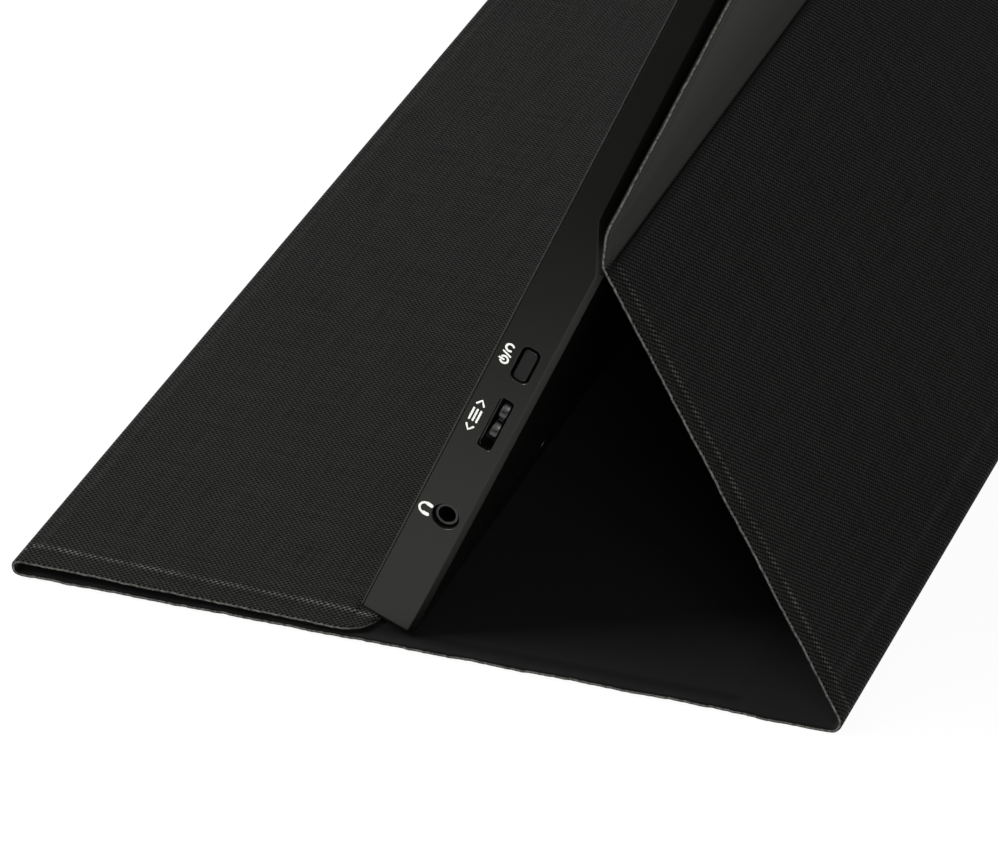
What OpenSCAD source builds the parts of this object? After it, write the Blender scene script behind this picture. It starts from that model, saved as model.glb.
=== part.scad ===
// Portable monitor leaning in its folded folio cover.
// X runs to the right hand of a person facing the screen, Y from the front fold to the back, Z up.
// The origin is on the ground under the middle of the whole object. All sizes are millimetres.
// Inside the monitor, y counts from the front glass to the back and z from its bottom edge upwards.

/* [Monitor case] */
// Width of the monitor, left to right
monitor_w = 358; // [300:1:430]
// Height of the monitor along its leaning face
monitor_h = 226; // [188:1:272]
// Depth of the thick lower part that holds the electronics
deck_depth = 11.9; // [11.2:0.1:14.6]
// Depth of the thin upper part
slab_depth = 8.1; // [7:0.1:9.9]
// Height of the thick part before its back slopes in
deck_h = 95.5; // [90:0.5:115]
// Height over which the back slopes from thick to thin
step_run = 11; // [8:0.5:12]
// Chamfer round the back edges of the thick part
edge_chamfer = 1.3; // [0.8:0.1:2]
// Chamfer round the back edges of the thin part
slab_chamfer = 1.9; // [1:0.1:2]
// Corner radius of the case seen from the front
corner_r = 1.6; // [1.4:0.1:4]
// Thickness of the case walls
case_wall = 1.3; // [1:0.1:1.6]
// Thickness of the front frame where it shows at the side
bezel_lip = 0.35; // [0.35:0.05:0.6]
// Gap between the front frame and the rear case
parting_gap = 0.07; // [0.05:0.01:0.2]

/* [Display] */
// Width of the frame beside the picture
bezel_side = 6.9; // [5:0.1:9]
// Height of the frame above the picture
bezel_top = 7; // [5:0.1:9]
// Height of the frame below the picture
bezel_chin = 25.4; // [23:0.1:30]
// Thickness of the liquid crystal cell
cell_t = 1.2; // [1:0.05:1.4]
// Thickness of the light guide
guide_t = 1.5; // [1.2:0.05:1.7]

/* [Side controls] */
// Height of the headphone socket above the bottom edge
jack_h = 29.6; // [27.5:0.1:36]
// Radius of the headphone socket's bore
jack_bore_r = 1.775; // [1.75:0.005:1.85]
// Radius of the headphone socket's barrel
jack_barrel_r = 2.35; // [2.1:0.05:2.45]
// Radius of the hole in the case round the headphone socket
jack_hole_r = 2.8; // [2.5:0.05:2.9]
// How far the socket's face sits inside the case
jack_recess = 1; // [0.2:0.05:1]
// Height of the menu lever above the bottom edge
menu_h = 54.25; // [50:0.1:57]
// Length of the menu lever's slot
menu_slot_l = 12.6; // [11:0.1:14]
// Width of the menu lever's slot
menu_slot_w = 3; // [2.6:0.1:3.6]
// How far the menu lever sits above the middle of its slot
menu_lift = 0.5; // [0:0.1:0.8]
// Thickness of the menu lever
lever_t = 1.9; // [1.6:0.1:2.1]
// Height of the power button above the bottom edge
power_h = 69.1; // [66:0.1:74]
// Length of the power button
power_l = 7.3; // [6:0.1:9]
// Width of the power button
power_w = 2.9; // [2.4:0.1:3.5]
// How far the power button sits inside the case
power_recess = 0.4; // [0.1:0.05:0.5]
// Gap round the power button
button_gap = 0.5; // [0.2:0.05:0.5]
// Travel of the power button
power_travel = 0.4; // [0.2:0.05:0.4]
// Travel of the menu lever when it is pressed
menu_travel = 0.3; // [0.1:0.05:0.3]
// Radial clearance between the menu lever and its pin
pin_clear = 0.05; // [0.02:0.01:0.09]

/* [Cover] */
// How far the cover stands past the monitor on each side
cover_margin = 3; // [2:0.1:5]
// Thickness of the outer fabric
skin_t = 0.45; // [0.35:0.05:0.55]
// Thickness of the soft lining
lining_t = 0.45; // [0.35:0.05:0.55]
// Thickness of the stiff boards inside the cover
board_t = 0.7; // [0.55:0.05:0.85]
// Width of the unboarded hem along the cover's edges
hem = 5.5; // [4:0.1:7]
// Radius of the flap's free corners
flap_corner_r = 7.5; // [4.5:0.1:8]
// Radius of the front fold, to the middle of the laminate
front_fold_r = 1.525; // [1.4:0.005:1.9]
// Radius of the fold behind the spine, to the middle of the laminate
rear_fold_r = 2.4; // [2:0.1:3]
// Length of the spine from its crease to the rear fold
spine_l = 14.8; // [13:0.1:17]
// Width of the soft crease between base and spine
crease_w = 6; // [5:0.1:7]
// How far the flap's soft edge is tucked under the monitor
tuck = 3.3; // [2:0.1:4]
// How far the flap's stiff part stays in front of the monitor
flap_clear = 1.2; // [0.8:0.1:2]

/* [Stand] */
// Angle of the screen from the ground
lean = 65.9; // [64:0.1:68]
// Angle of the support panel from the ground
strut = 61.3; // [59.5:0.1:62.5]
// Gap between the monitor's lower back edge and the base
foot_gap = 0.15; // [0.05:0.05:0.3]

/* [Hidden] */
$fn = 48;

// cover, with the middle plane of every panel between its fabric and its lining
cover_w = monitor_w + 2 * cover_margin;
half_t = board_t / 2;
base_mid_z = half_t + skin_t;
base_top_z = base_mid_z + half_t + lining_t;
spine_mid_z = skin_t;

// monitor stand, from its lower front corner at y = 0
half_w = monitor_w / 2;
// lower back edge of the case, which sits just over the base
edge_y = deck_depth * sin(lean);
foot_z = base_top_z + foot_gap + max(deck_depth * cos(lean) - edge_chamfer * sin(lean),
    (deck_depth - edge_chamfer) * cos(lean)) + 0.1;
function in_world(n, h) = [n * sin(lean) + h * cos(lean), foot_z - n * cos(lean) + h * sin(lean)];

// elbow hinge, off the top of the thick part's back
elbow_n = deck_depth + 0.15;
elbow_h = deck_h + 3.4;
elbow = in_world(elbow_n, elbow_h);
// directions of the support panel: up along it, and out from its fabric side
along = [-cos(strut), sin(strut)];
outward = [sin(strut), cos(strut)];
rear_z = spine_mid_z + rear_fold_r;
support_l = (elbow[1] - rear_fold_r * outward[1] - rear_z) / sin(strut);
rear_y = elbow[0] + support_l * cos(strut) - rear_fold_r * outward[0];
crease_y = round(100 * (rear_y - spine_l)) / 100;

// the base and the flap together cover the screen when the folio is shut
flap_l = (monitor_h + 2.1 - crease_y + tuck) / 2;
fold_y = tuck - flap_l;
fold_z = base_mid_z + front_fold_r;
base_y0 = fold_y;
base_y1 = crease_y - crease_w / 2;
spine_y0 = crease_y + crease_w / 2;
spine_y1 = rear_y - 4.1;
flap_tilt = asin((fold_z + front_fold_r - base_top_z - half_t - lining_t - 0.1) / flap_l);
flap_rigid_l = flap_l - tuck - flap_clear;

// upper panel, stuck to the back of the thin part
upper_n = slab_depth + half_t + lining_t;
upper_h0 = deck_h + step_run + 2;
upper_h1 = monitor_h + cover_margin;

// whole object, front to back
front_y = fold_y - front_fold_r - max(skin_t, lining_t);
back_y = max(in_world(upper_n + half_t + skin_t, upper_h1)[0], rear_y + rear_fold_r + skin_t);
mid_y = round(50 * (front_y + back_y)) / 100;

// display layers, counted from the front
parting = bezel_lip + parting_gap;
active_w = monitor_w - 2 * bezel_side;
active_h = monitor_h - bezel_chin - bezel_top;
cell_n = bezel_lip + 0.05;
film_n = cell_n + cell_t + 0.05;
film_t = 0.45;
guide_n = film_n + film_t + 0.05;
sheet_n = guide_n + guide_t + 0.05;
sheet_t = 0.2;
tray_n = sheet_n + sheet_t + 0.03;
tray_t = 0.3;
frame_n = tray_n + tray_t + 0.05;
frame_t = 0.4;
cell_low = bezel_chin - 7;
cell_high = monitor_h - bezel_top + 2;
tray_low = bezel_chin - 3;
tray_high = monitor_h - bezel_top + 1.4;
tray_half = active_w / 2 + 2.4;

// electronics behind the display
port_n = 6.7;
board_n = port_n - 0.5;
pcb_t = 1;
deck_in = deck_depth - case_wall;
slab_in = slab_depth - case_wall;
inner_half = half_w - case_wall;
port_x = half_w - 0.5;
board_left = -half_w + 2.6;
board_right = -half_w + 120;
usb_low_h = 40;
usb_high_h = 56;
hdmi_h = 74;
menu_n = 6.93;
power_n = 6.75;
power_hole_h = power_h + 0.8 * button_gap;
power_r = 0.32 * power_w;
pivot_x = half_w - 6.5;
pin_r = 0.8;
lever_n = menu_n + (menu_slot_w - lever_t) / 2 - 0.15;
lever_h = menu_h + menu_lift;
stand_offs = [[board_left + 22, 34], [board_right - 6, 34], [board_left + 40, 84],
    [board_right - 6, 84]];
speaker_x0 = half_w - 57;
speaker_x1 = half_w - 14;
shell_screw_at = [[-half_w + 63, 12], [half_w - 63, 12], [-half_w + 69, 90], [half_w - 29, 84]];

// Moves a child from the monitor's own frame to where it leans
module leaning() {
    translate([0, -mid_y, foot_z]) rotate([lean - 90, 0, 0]) children();
}

// Extrudes a side profile, drawn as (depth, height), across the width
module across(width) {
    rotate([90, 0, 90]) linear_extrude(width, center = true) children();
}

// Extrudes a front outline, drawn as (width, height), from one depth to another
module through(n0, n1) {
    translate([0, n1, 0]) rotate([90, 0, 0]) linear_extrude(n1 - n0) children();
}

// Extrudes a side outline, drawn as (depth, height), from one x to another
module sideways(x0, x1) {
    translate([x0, 0, 0]) rotate([90, 0, 90]) linear_extrude(x1 - x0) children();
}

// A box given by its low and high corners
module block(low, high) {
    translate(low) cube(high - low);
}

// What a corner radius takes off a square corner at the origin
module nick(r) {
    difference() {
        translate([-1, -1]) square(r + 1);
        translate([r, r]) circle(r);
    }
}

// A rectangle centred in x from y0 to y1, with radius r0 at its low corners and r1 at its high ones
module panel_outline(width, y0, y1, r0, r1) {
    difference() {
        translate([-width / 2, y0]) square([width, y1 - y0]);
        for (s = [-1, 1]) {
            if (r0 > 0) translate([s * width / 2, y0]) scale([-s, 1]) nick(r0);
            if (r1 > 0) translate([s * width / 2, y1]) scale([-s, -1]) nick(r1);
        }
    }
}

// A slot with round ends, its length along y
module slot_shape(length, width) {
    square([width, length - width], center = true);
    for (s = [-1, 1]) translate([0, s * (length - width) / 2]) circle(width / 2);
}

// A rectangle with rounded corners, centred
module pad_shape(length, width, r) {
    translate([0, -length / 2]) panel_outline(width, 0, length, r, r);
}

// Unit normal to the left of a path at point i
function normal_at(path, i) = let (
    a = path[max(i - 1, 0)], b = path[min(i + 1, len(path) - 1)], d = b - a, l = norm(d)
) [-d[1] / l, d[0] / l];

// A ribbon along a path, from t0 to t1 to the left of it
module ribbon(path, t0, t1) {
    polygon(concat(
        [for (i = [0 : len(path) - 1]) path[i] + t0 * normal_at(path, i)],
        [for (i = [len(path) - 1 : -1 : 0]) path[i] + t1 * normal_at(path, i)]));
}

// An S from one height to another
function ease(t) = t * t * (3 - 2 * t);

// Fabric tray of a cover panel: hem on the middle plane, pocket for the board below it.
// The panel runs from y = 0 to its length, m0 and m1 are the hems at its two ends.
module tray(length, m0, m1, r0, r1, t) {
    difference() {
        union() {
            translate([0, 0, -t]) linear_extrude(t) panel_outline(cover_w, 0, length, r0, r1);
            translate([0, 0, -half_t - t]) linear_extrude(half_t + t)
                panel_outline(cover_w - 2 * hem + 2 * t, m0 - t, length - m1 + t, 0.8, 0.8);
        }
        translate([0, 0, -half_t]) linear_extrude(half_t + 1)
            panel_outline(cover_w - 2 * hem, m0, length - m1, 0, 0);
    }
}
module skin(length, m0, m1, r0, r1) {
    tray(length, m0, m1, r0, r1, skin_t);
}
module lining(length, m0, m1, r0, r1) {
    mirror([0, 0, 1]) tray(length, m0, m1, r0, r1, lining_t);
}
module stiffener(length, m0, m1) {
    block([-cover_w / 2 + hem + 0.03, m0 + 0.03, -half_t],
        [cover_w / 2 - hem - 0.03, length - m1 - 0.03, half_t]);
}

// Frames of the cover's panels, each with y along the panel and its fabric on the low z side
module base_frame() {
    translate([0, base_y0 - mid_y, base_mid_z]) children();
}
module flap_frame() {
    translate([0, fold_y + front_fold_r * sin(flap_tilt) - mid_y,
        fold_z + front_fold_r * cos(flap_tilt)]) rotate([-flap_tilt, 0, 0])
        rotate([0, 180, 0]) children();
}
module support_frame() {
    translate([0, elbow[0] - mid_y, elbow[1]]) rotate([180 - strut, 0, 0])
        translate([0, -support_l, 0]) children();
}
module upper_frame() {
    leaning() translate([0, upper_n, upper_h0]) rotate([90, 0, 0]) children();
}

base_len = base_y1 - base_y0;
support_low = 4;
support_top_hem = 1;
support_gap = 1.5;
support_len = support_l - support_gap - support_low;
upper_len = upper_h1 - upper_h0;

// CASE
module case_block(depth, top, c) {
    intersection() {
        through(parting, depth) panel_outline(monitor_w, 0, monitor_h, corner_r, corner_r);
        children();
        linear_extrude(top) polygon([[-half_w, parting], [half_w, parting],
            [half_w, depth - c], [half_w - c, depth],
            [-half_w + c, depth], [-half_w, depth - c]]);
    }
}
module slope_cut() {
    k = (deck_depth - edge_chamfer - slab_depth + slab_chamfer) / step_run;
    for (s = [-1, 1]) scale([s, 1, 1])
        translate([half_w, deck_depth - edge_chamfer, deck_h - 0.4])
            rotate([0, acos(k / sqrt(2 + k * k)), 45]) translate([-20, -20, 0]) cube([40, 40, 20]);
}
module case_outer() {
    b = slab_chamfer;
    case_block(slab_depth, monitor_h, b) across(monitor_w + 2) polygon([[parting, 0],
        [slab_depth - b, 0], [slab_depth, b], [slab_depth, monitor_h - b],
        [slab_depth - b, monitor_h], [parting, monitor_h]]);
    c = edge_chamfer;
    difference() {
        case_block(deck_depth, monitor_h, c) across(monitor_w + 2) polygon([[parting, 0],
            [deck_depth - c, 0], [deck_depth, c], [deck_depth, deck_h],
            [slab_depth, deck_h + step_run], [parting, deck_h + step_run]]);
        slope_cut();
    }
}
module case_cavity() {
    r = corner_r - case_wall;
    through(-1, slab_in)
        panel_outline(2 * inner_half, case_wall, monitor_h - case_wall, r, r);
    intersection() {
        through(-1, deck_in) panel_outline(2 * inner_half, case_wall, deck_h + step_run, r, 0);
        across(monitor_w) polygon([[-1, case_wall], [deck_in, case_wall], [deck_in, deck_h - 0.5],
            [slab_in, deck_h + step_run - 1], [-1, deck_h + step_run - 1]]);
    }
}
module side_openings() {
    sideways(half_w - 3, half_w + 1) {
        translate([port_n, jack_h]) circle(jack_hole_r);
        translate([menu_n, menu_h]) pad_shape(menu_slot_l, menu_slot_w, 0.8);
        translate([power_n, power_hole_h])
            pad_shape(power_l + 2 * button_gap, power_w + 2 * button_gap, power_r + button_gap);
    }
    sideways(-half_w - 1, -half_w + 3) {
        for (h = [usb_low_h, usb_high_h]) translate([port_n, h]) slot_shape(9.2, 3.5);
        translate([port_n, hdmi_h]) pad_shape(11.6, 3.6, 0.5);
    }
}
module slot_sleeve() {
    w = menu_slot_w;
    sideways(half_w - 4.2, half_w - case_wall + 0.05) translate([menu_n, menu_h]) difference() {
        pad_shape(menu_slot_l + 1.2, w + 1.2, 1.2);
        pad_shape(menu_slot_l, w, 0.8);
    }
    block([half_w - 2.6, menu_n - w / 2 - 0.3, menu_h - menu_slot_l / 2 - 0.3],
        [half_w - 1.2, menu_n - w / 2 + 0.6, menu_h + menu_slot_l / 2 + 0.3]);
}
module rear_shell() color("#2b2b2c") leaning() difference() {
    union() {
        difference() {
            case_outer();
            union() {
                case_cavity();
                side_openings();
            }
        }
        slot_sleeve();
        for (p = shell_screw_at) translate([p[0], deck_in + 0.2, p[1]]) rotate([90, 0, 0])
            cylinder(r = 2.6, h = deck_in + 0.2 - frame_n - frame_t - 0.02);
    }
    for (p = shell_screw_at) translate([p[0], deck_depth + 1, p[1]]) rotate([90, 0, 0]) {
        cylinder(r = 2.1, h = 2.2);
        cylinder(r = 1.1, h = 20);
    }
    for (s = [-1, 1]) for (i = [0 : 9]) for (j = [0 : 1])
        translate([s * (speaker_x0 + 4 + i * 3.4), 0, 9 + j * 9])
            through(deck_in - 1, deck_depth + 1) slot_shape(6, 1.4);
}
module front_bezel() color("#1d1d1e") leaning() difference() {
    union() {
        through(0, bezel_lip) panel_outline(monitor_w, 0, monitor_h, corner_r, corner_r);
        difference() {
            through(bezel_lip, bezel_lip + 1.7) panel_outline(2 * inner_half - 0.1,
                case_wall + 0.05, monitor_h - case_wall - 0.05, 2, 2);
            through(-1, 9) panel_outline(2 * inner_half - 5, case_wall + 2.6,
                monitor_h - case_wall - 2.6, 0, 0);
        }
    }
    through(-1, 9) panel_outline(active_w, bezel_chin, monitor_h - bezel_top, 0, 0);
}

// DISPLAY
module lcd_cell() color("#0b0c0e") leaning()
    block([-active_w / 2 - 2.2, cell_n, cell_low], [active_w / 2 + 2.2, cell_n + cell_t, cell_high]);
module optical_films() color("#dfe3e6") leaning()
    block([-tray_half + 0.6, film_n, tray_low + 1.4],
        [tray_half - 0.6, film_n + film_t, tray_high - 0.6]);
module light_guide() color("#e8eef2") leaning()
    block([-tray_half + 0.6, guide_n, tray_low + 1.4],
        [tray_half - 0.6, guide_n + guide_t, tray_high - 0.6]);
module reflector_sheet() color("#f4f4f2") leaning()
    block([-tray_half + 0.6, sheet_n, tray_low + 0.6],
        [tray_half - 0.6, sheet_n + sheet_t, tray_high - 0.6]);
module led_bar() color("#e9e2c4") leaning() {
    block([-active_w / 2, guide_n, tray_low + 0.4], [active_w / 2, guide_n + guide_t, tray_low + 0.8]);
    for (i = [0 : 35]) translate([-active_w / 2 + 4 + i * (active_w - 8) / 35, 0, 0])
        block([-1.5, guide_n + 0.4, tray_low + 0.8], [1.5, guide_n + guide_t - 0.4, tray_low + 1.3]);
}
module panel_tray() color("#9aa0a4") leaning() difference() {
    block([-tray_half, film_n, tray_low], [tray_half, tray_n + tray_t, tray_high]);
    block([-tray_half + 0.35, film_n - 1, tray_low + 0.35],
        [tray_half - 0.35, tray_n, tray_high - 0.35]);
}

// ELECTRONICS
module mid_frame() color("#8c9296") leaning() difference() {
    union() {
        block([-half_w + 16, frame_n, 5], [half_w - 16, frame_n + frame_t, deck_h - 2]);
        for (p = stand_offs) translate([p[0], board_n - 0.01, p[1]]) rotate([90, 0, 0])
            cylinder(r = 2.2, h = board_n - 0.01 - frame_n - 0.1);
    }
    block([-24, 0, 13], [106, 12, 20]);
    for (p = stand_offs) translate([p[0], 12, p[1]]) rotate([90, 0, 0]) cylinder(r = 0.9, h = 14);
    for (p = shell_screw_at) translate([p[0], 12, p[1]]) rotate([90, 0, 0])
        cylinder(r = 1.05, h = 14);
    for (i = [0 : 4]) translate([-8 + i * 30, 0, 60]) through(0, 12) pad_shape(40, 14, 3);
}
module main_board() color("#1e4d33") leaning() difference() {
    block([board_left, board_n, 30], [board_right, board_n + pcb_t, deck_h - 6.5]);
    for (h = [usb_low_h, usb_high_h]) block([board_left - 1, 0, h - 4.6], [-half_w + 8.6, 12, h + 4.6]);
    block([board_left - 1, 0, hdmi_h - 5.8], [-half_w + 9.1, 12, hdmi_h + 5.8]);
    for (p = stand_offs) translate([p[0], 12, p[1]]) rotate([90, 0, 0]) cylinder(r = 1.2, h = 12);
    translate([shell_screw_at[2][0], 12, 90]) rotate([90, 0, 0]) cylinder(r = 3.2, h = 12);
}
module timing_board() color("#1f5136") leaning()
    block([-26, board_n, 8], [108, board_n + pcb_t, 26]);
module control_board() color("#1e4d33") leaning()
    block([half_w - 11, 4.95, menu_h - 8.5], [half_w - 10, 9.7, power_h + 8]);
module audio_board() color("#1e4d33") leaning()
    block([half_w - 20, port_n + 2.03, jack_h - 4.5], [half_w - 2.4, port_n + 2.83, jack_h + 8]);
module scaler_chip() color("#151617") leaning() {
    block([board_left + 46, board_n + pcb_t, 48], [board_left + 64, board_n + pcb_t + 1, 66]);
}
module board_parts() color("#3a3b3d") leaning() {
    n = board_n + pcb_t;
    for (i = [0 : 3]) block([board_left + 30, n, 34 + i * 10], [board_left + 36, n + 1.3, 40 + i * 10]);
    for (i = [0 : 2]) block([board_left + 74, n, 40 + i * 12], [board_left + 80, n + 1.3, 47 + i * 12]);
    for (i = [0 : 10]) block([board_left + 33 + i * 5, n, 74], [board_left + 35 + i * 5, n + 0.7, 75]);
    for (i = [0 : 5]) block([board_left + 40 + i * 5, n, 40], [board_left + 41.2 + i * 5, n + 0.6, 42]);
}
module board_connectors() color("#d9d4c6") leaning() {
    n = board_n + pcb_t;
    block([board_right - 16, n, 39], [board_right - 6, n + 1, 59]);
    block([-20, n, 10], [-12, n + 1, 24]);
    block([board_left + 92, n, 74], [board_left + 104, n + 1, 78]);
}
module display_cable() color("#e6e2d6") leaning() {
    n = board_n + pcb_t + 1;
    block([board_right - 14, n, 41], [-14, n + 0.25, 57]);
    block([-28, n, 12], [-14, n + 0.25, 41]);
}
module source_film() color("#b7803a") leaning() for (i = [0 : 3]) translate([-6 + i * 29, 0, 0])
    across(16) ribbon([[cell_n + cell_t / 2, cell_low - 0.12], [cell_n + cell_t / 2, cell_low - 1.2],
        [board_n - 0.2, cell_low - 1.2], [board_n - 0.2, cell_low + 1]], -0.07, 0.07);
module usb_port(h) {
    difference() {
        sideways(-port_x, -half_w + 8.2) translate([port_n, h]) slot_shape(8.94, 3.2);
        sideways(-port_x - 1, -half_w + 7) translate([port_n, h]) slot_shape(8.34, 2.56);
    }
    sideways(-port_x + 1, -half_w + 7.2) translate([port_n, h]) square([0.7, 6.7], center = true);
}
module usb_c_port_upper() color("#b9bcbf") leaning() usb_port(usb_high_h);
module usb_c_port_lower() color("#b9bcbf") leaning() usb_port(usb_low_h);
module mini_hdmi_port() color("#b9bcbf") leaning() {
    difference() {
        sideways(-port_x, -half_w + 8.8) translate([port_n, hdmi_h]) pad_shape(11.2, 3.2, 0.4);
        sideways(-port_x - 1, -half_w + 7.6) translate([port_n, hdmi_h]) pad_shape(10.6, 2.6, 0.3);
    }
    sideways(-port_x + 1.2, -half_w + 7.8) translate([port_n, hdmi_h]) square([0.8, 8.6], center = true);
}
module headphone_jack() color("#333436") leaning() difference() {
    union() {
        block([half_w - 15.5, port_n - 2, jack_h - 3.4], [half_w - 1.5, port_n + 2, jack_h + 3.4]);
        block([half_w - 2.2, port_n - 3, jack_h - 3.4], [half_w - 1.5, port_n + 3, jack_h + 3.4]);
        sideways(half_w - 1.6, half_w - jack_recess) translate([port_n, jack_h]) circle(jack_barrel_r);
    }
    sideways(half_w - 15, half_w + 1) translate([port_n, jack_h]) circle(jack_bore_r);
}
module power_switch() color("#c9ccce") leaning() {
    block([half_w - 10, power_n - 1.5, power_h - 2.5], [half_w - 7.4, power_n + 1.5, power_h + 2.5]);
    sideways(half_w - 7.5, half_w - 6.08 - power_travel) translate([power_n, power_h]) circle(0.9);
}
module jog_switch() color("#2e2f31") leaning() difference() {
    block([half_w - 10, 5, lever_h - 7.5], [half_w - 4.4, 9.5, lever_h + 7.5]);
    block([half_w - 9.2 - menu_travel, 4, lever_h - 5.3], [half_w, 10, lever_h + 5.3]);
}
module speaker(s) {
    block([s > 0 ? speaker_x0 : -speaker_x1, frame_n + frame_t + 0.05, 5.5],
        [s > 0 ? speaker_x1 : -speaker_x0, deck_in - 0.6, 24.5]);
}
module speaker_left() color("#202122") leaning() speaker(-1);
module speaker_right() color("#202122") leaning() speaker(1);
module board_screws() color("#c4c7ca") leaning() for (p = stand_offs)
    translate([p[0], 0, p[1]]) {
        through(frame_n + 0.6, board_n + pcb_t) circle(0.85);
        through(board_n + pcb_t, board_n + pcb_t + 0.8) circle(1.9);
    }
module shell_screws() color("#a9acaf") leaning() for (p = shell_screw_at)
    translate([p[0], 0, p[1]]) {
        through(frame_n, deck_depth - 1.1) circle(1);
        difference() {
            through(deck_depth - 1.2, deck_depth - 0.3) circle(1.95);
            for (a = [0, 90]) translate([0, deck_depth - 0.8, 0]) rotate([0, a, 0])
                block([-1.2, 0, -0.2], [1.2, 1, 0.2]);
        }
    }
module shell_plates() color("#9b9fa3") leaning() for (s = [-1, 1])
    block([s * 110 - 35, slab_in - 0.8, monitor_h - 50], [s * 110 + 35, slab_in - 0.02, monitor_h - 30]);

// CONTROLS
module power_button() color("#2a2a2b") leaning() {
    sideways(half_w - 1.5, half_w - power_recess) translate([power_n, power_h])
        pad_shape(power_l, power_w, power_r);
    sideways(half_w - 2.4, half_w - 1.49) translate([power_n, power_h])
        pad_shape(power_l + 2, min(power_w + 0.8, 2 * (power_n - 4.6)), 1.2);
    sideways(half_w - 6.03, half_w - 2.3) translate([power_n, power_h]) circle(1.1);
}
module jog_carriage() color("#3c3d3f") leaning() {
    block([half_w - 9.15, menu_n - 2.1, lever_h - 3], [half_w - 8.5, menu_n + 2.1, lever_h + 3]);
    for (s = [-1, 1]) block([half_w - 8.6, menu_n + s * 1.85 - 0.25, lever_h - 1.4],
        [half_w - 5, menu_n + s * 1.85 + 0.25, lever_h + 1.4]);
    translate([pivot_x, 0, lever_h]) through(menu_n - 1.7, menu_n + 1.7) circle(pin_r);
}
module menu_lever() color("#313132") leaning() translate([pivot_x, 0, lever_h])
    through(lever_n - lever_t / 2, lever_n + lever_t / 2) difference() {
        union() {
            circle(1.6);
            translate([0, -1.5]) square([4, 3]);
            translate([2.8, -3.8]) square([1.2, 7.6]);
            for (s = [-1, 1]) translate([4.1, s * 2.45]) circle(2.1);
        }
        circle(pin_r + pin_clear);
    }

// COVER
module upper_skin() color("#2d2d2e") upper_frame() skin(upper_len, 2, hem, 0, 4);
module upper_board() color("#8d8375") upper_frame() difference() {
    stiffener(upper_len, 2, hem);
    for (s = [-1, 1]) block([s * 110 - 30, monitor_h - 48 - upper_h0, -1],
        [s * 110 + 30, monitor_h - 34 - upper_h0, 1]);
}
module upper_lining() color("#131314") upper_frame() lining(upper_len, 2, hem, 0, 4);
module upper_magnets() color("#b4b7ba") upper_frame() for (s = [-1, 1])
    block([s * 110 - 29.9, monitor_h - 47.9 - upper_h0, -half_t],
        [s * 110 + 29.9, monitor_h - 34.1 - upper_h0, half_t]);

module support_at() {
    support_frame() translate([0, support_low, 0]) children();
}
module support_skin() color("#2a2a2b") support_at() skin(support_len, 3, support_top_hem, 0, 0);
module support_board() color("#8d8375") support_at() stiffener(support_len, 3, support_top_hem);
module support_lining() color("#131314") support_at() lining(support_len, 3, support_top_hem, 0, 0);

module spine_skin() color("#2b2b2c") translate([-cover_w / 2, spine_y0 - mid_y, 0])
    cube([cover_w, spine_y1 - spine_y0, skin_t]);
module spine_lining() color("#131314") translate([-cover_w / 2, spine_y0 - mid_y, skin_t])
    cube([cover_w, spine_y1 - spine_y0, lining_t]);

module base_skin() color("#2a2a2b") base_frame() skin(base_len, 3, 3, 0, 0);
module base_board() color("#8d8375") base_frame() stiffener(base_len, 3, 3);
module base_lining() color("#131314") base_frame() lining(base_len, 3, 3, 0, 0);

module flap_rounding() {
    intersection() {
        children();
        translate([0, 0, -2]) linear_extrude(4) panel_outline(cover_w, 0, flap_l, 0, flap_corner_r);
    }
}
module flap_skin() color("#2c2c2d") flap_frame() flap_rounding() skin(flap_rigid_l, 3, 1.2, 0, 0);
module flap_board() color("#8d8375") flap_frame() difference() {
    stiffener(flap_rigid_l, 3, 1.2);
    for (s = [-1, 1]) block([s * 110 - 20, flap_rigid_l - 14, -1], [s * 110 + 20, flap_rigid_l - 4, 1]);
}
module flap_lining() color("#131314") flap_frame() flap_rounding()
    lining(flap_rigid_l, 3, 1.2, 0, 0);
module flap_magnets() color("#b4b7ba") flap_frame() for (s = [-1, 1])
    block([s * 110 - 19.9, flap_rigid_l - 13.9, -half_t], [s * 110 + 19.9, flap_rigid_l - 4.1, half_t]);
module flap_hem() color("#2c2c2d") flap_frame() translate([0, 0, -skin_t])
    linear_extrude(skin_t + lining_t) difference() {
        panel_outline(cover_w, 0, flap_l, 0, flap_corner_r);
        translate([-cover_w, -1]) square([2 * cover_w, flap_rigid_l + 1]);
    }

// FOLDS, each path drawn as (y, z) with the fabric on its right
module fold(path) {
    translate([0, -mid_y, 0]) across(cover_w) ribbon(path, -skin_t, lining_t);
}
fold_turn = 180 + flap_tilt;
function on_fold(a) = [fold_y, fold_z] + front_fold_r * [cos(a), sin(a)];
module front_fold_strip() color("#2c2c2d") fold(concat(
    [on_fold(90 - flap_tilt), on_fold(90 - flap_tilt) - 0.08 * [cos(flap_tilt), -sin(flap_tilt)]],
    [for (i = [1 : 23]) on_fold(90 - flap_tilt + fold_turn * i / 24)],
    [on_fold(270) - [0.08, 0], on_fold(270)]));
module crease_strip() color("#2a2a2b") fold(concat([[base_y1, base_mid_z]],
    [for (i = [0 : 10]) [base_y1 + crease_w * (1 + i) / 12,
        base_mid_z + (spine_mid_z - base_mid_z) * ease(i / 10)]], [[spine_y0, spine_mid_z]]));
module rear_fold_strip() color("#2b2b2c") fold(concat([[spine_y1, spine_mid_z]],
    [for (i = [0 : 18]) let (a = -90 + (180 - strut) * i / 18)
        [rear_y, rear_z] + rear_fold_r * [cos(a), sin(a)]],
    [elbow - (support_l - support_low) * along]));
elbow_steps = [[1, 0], [0.825, 0.055], [0.683, 0.122], [0.587, 0.206], [0.483, 0.311],
    [0.302, 0.5], [0.127, 0.689], [0.032, 0.822], [0, 1]];
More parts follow.
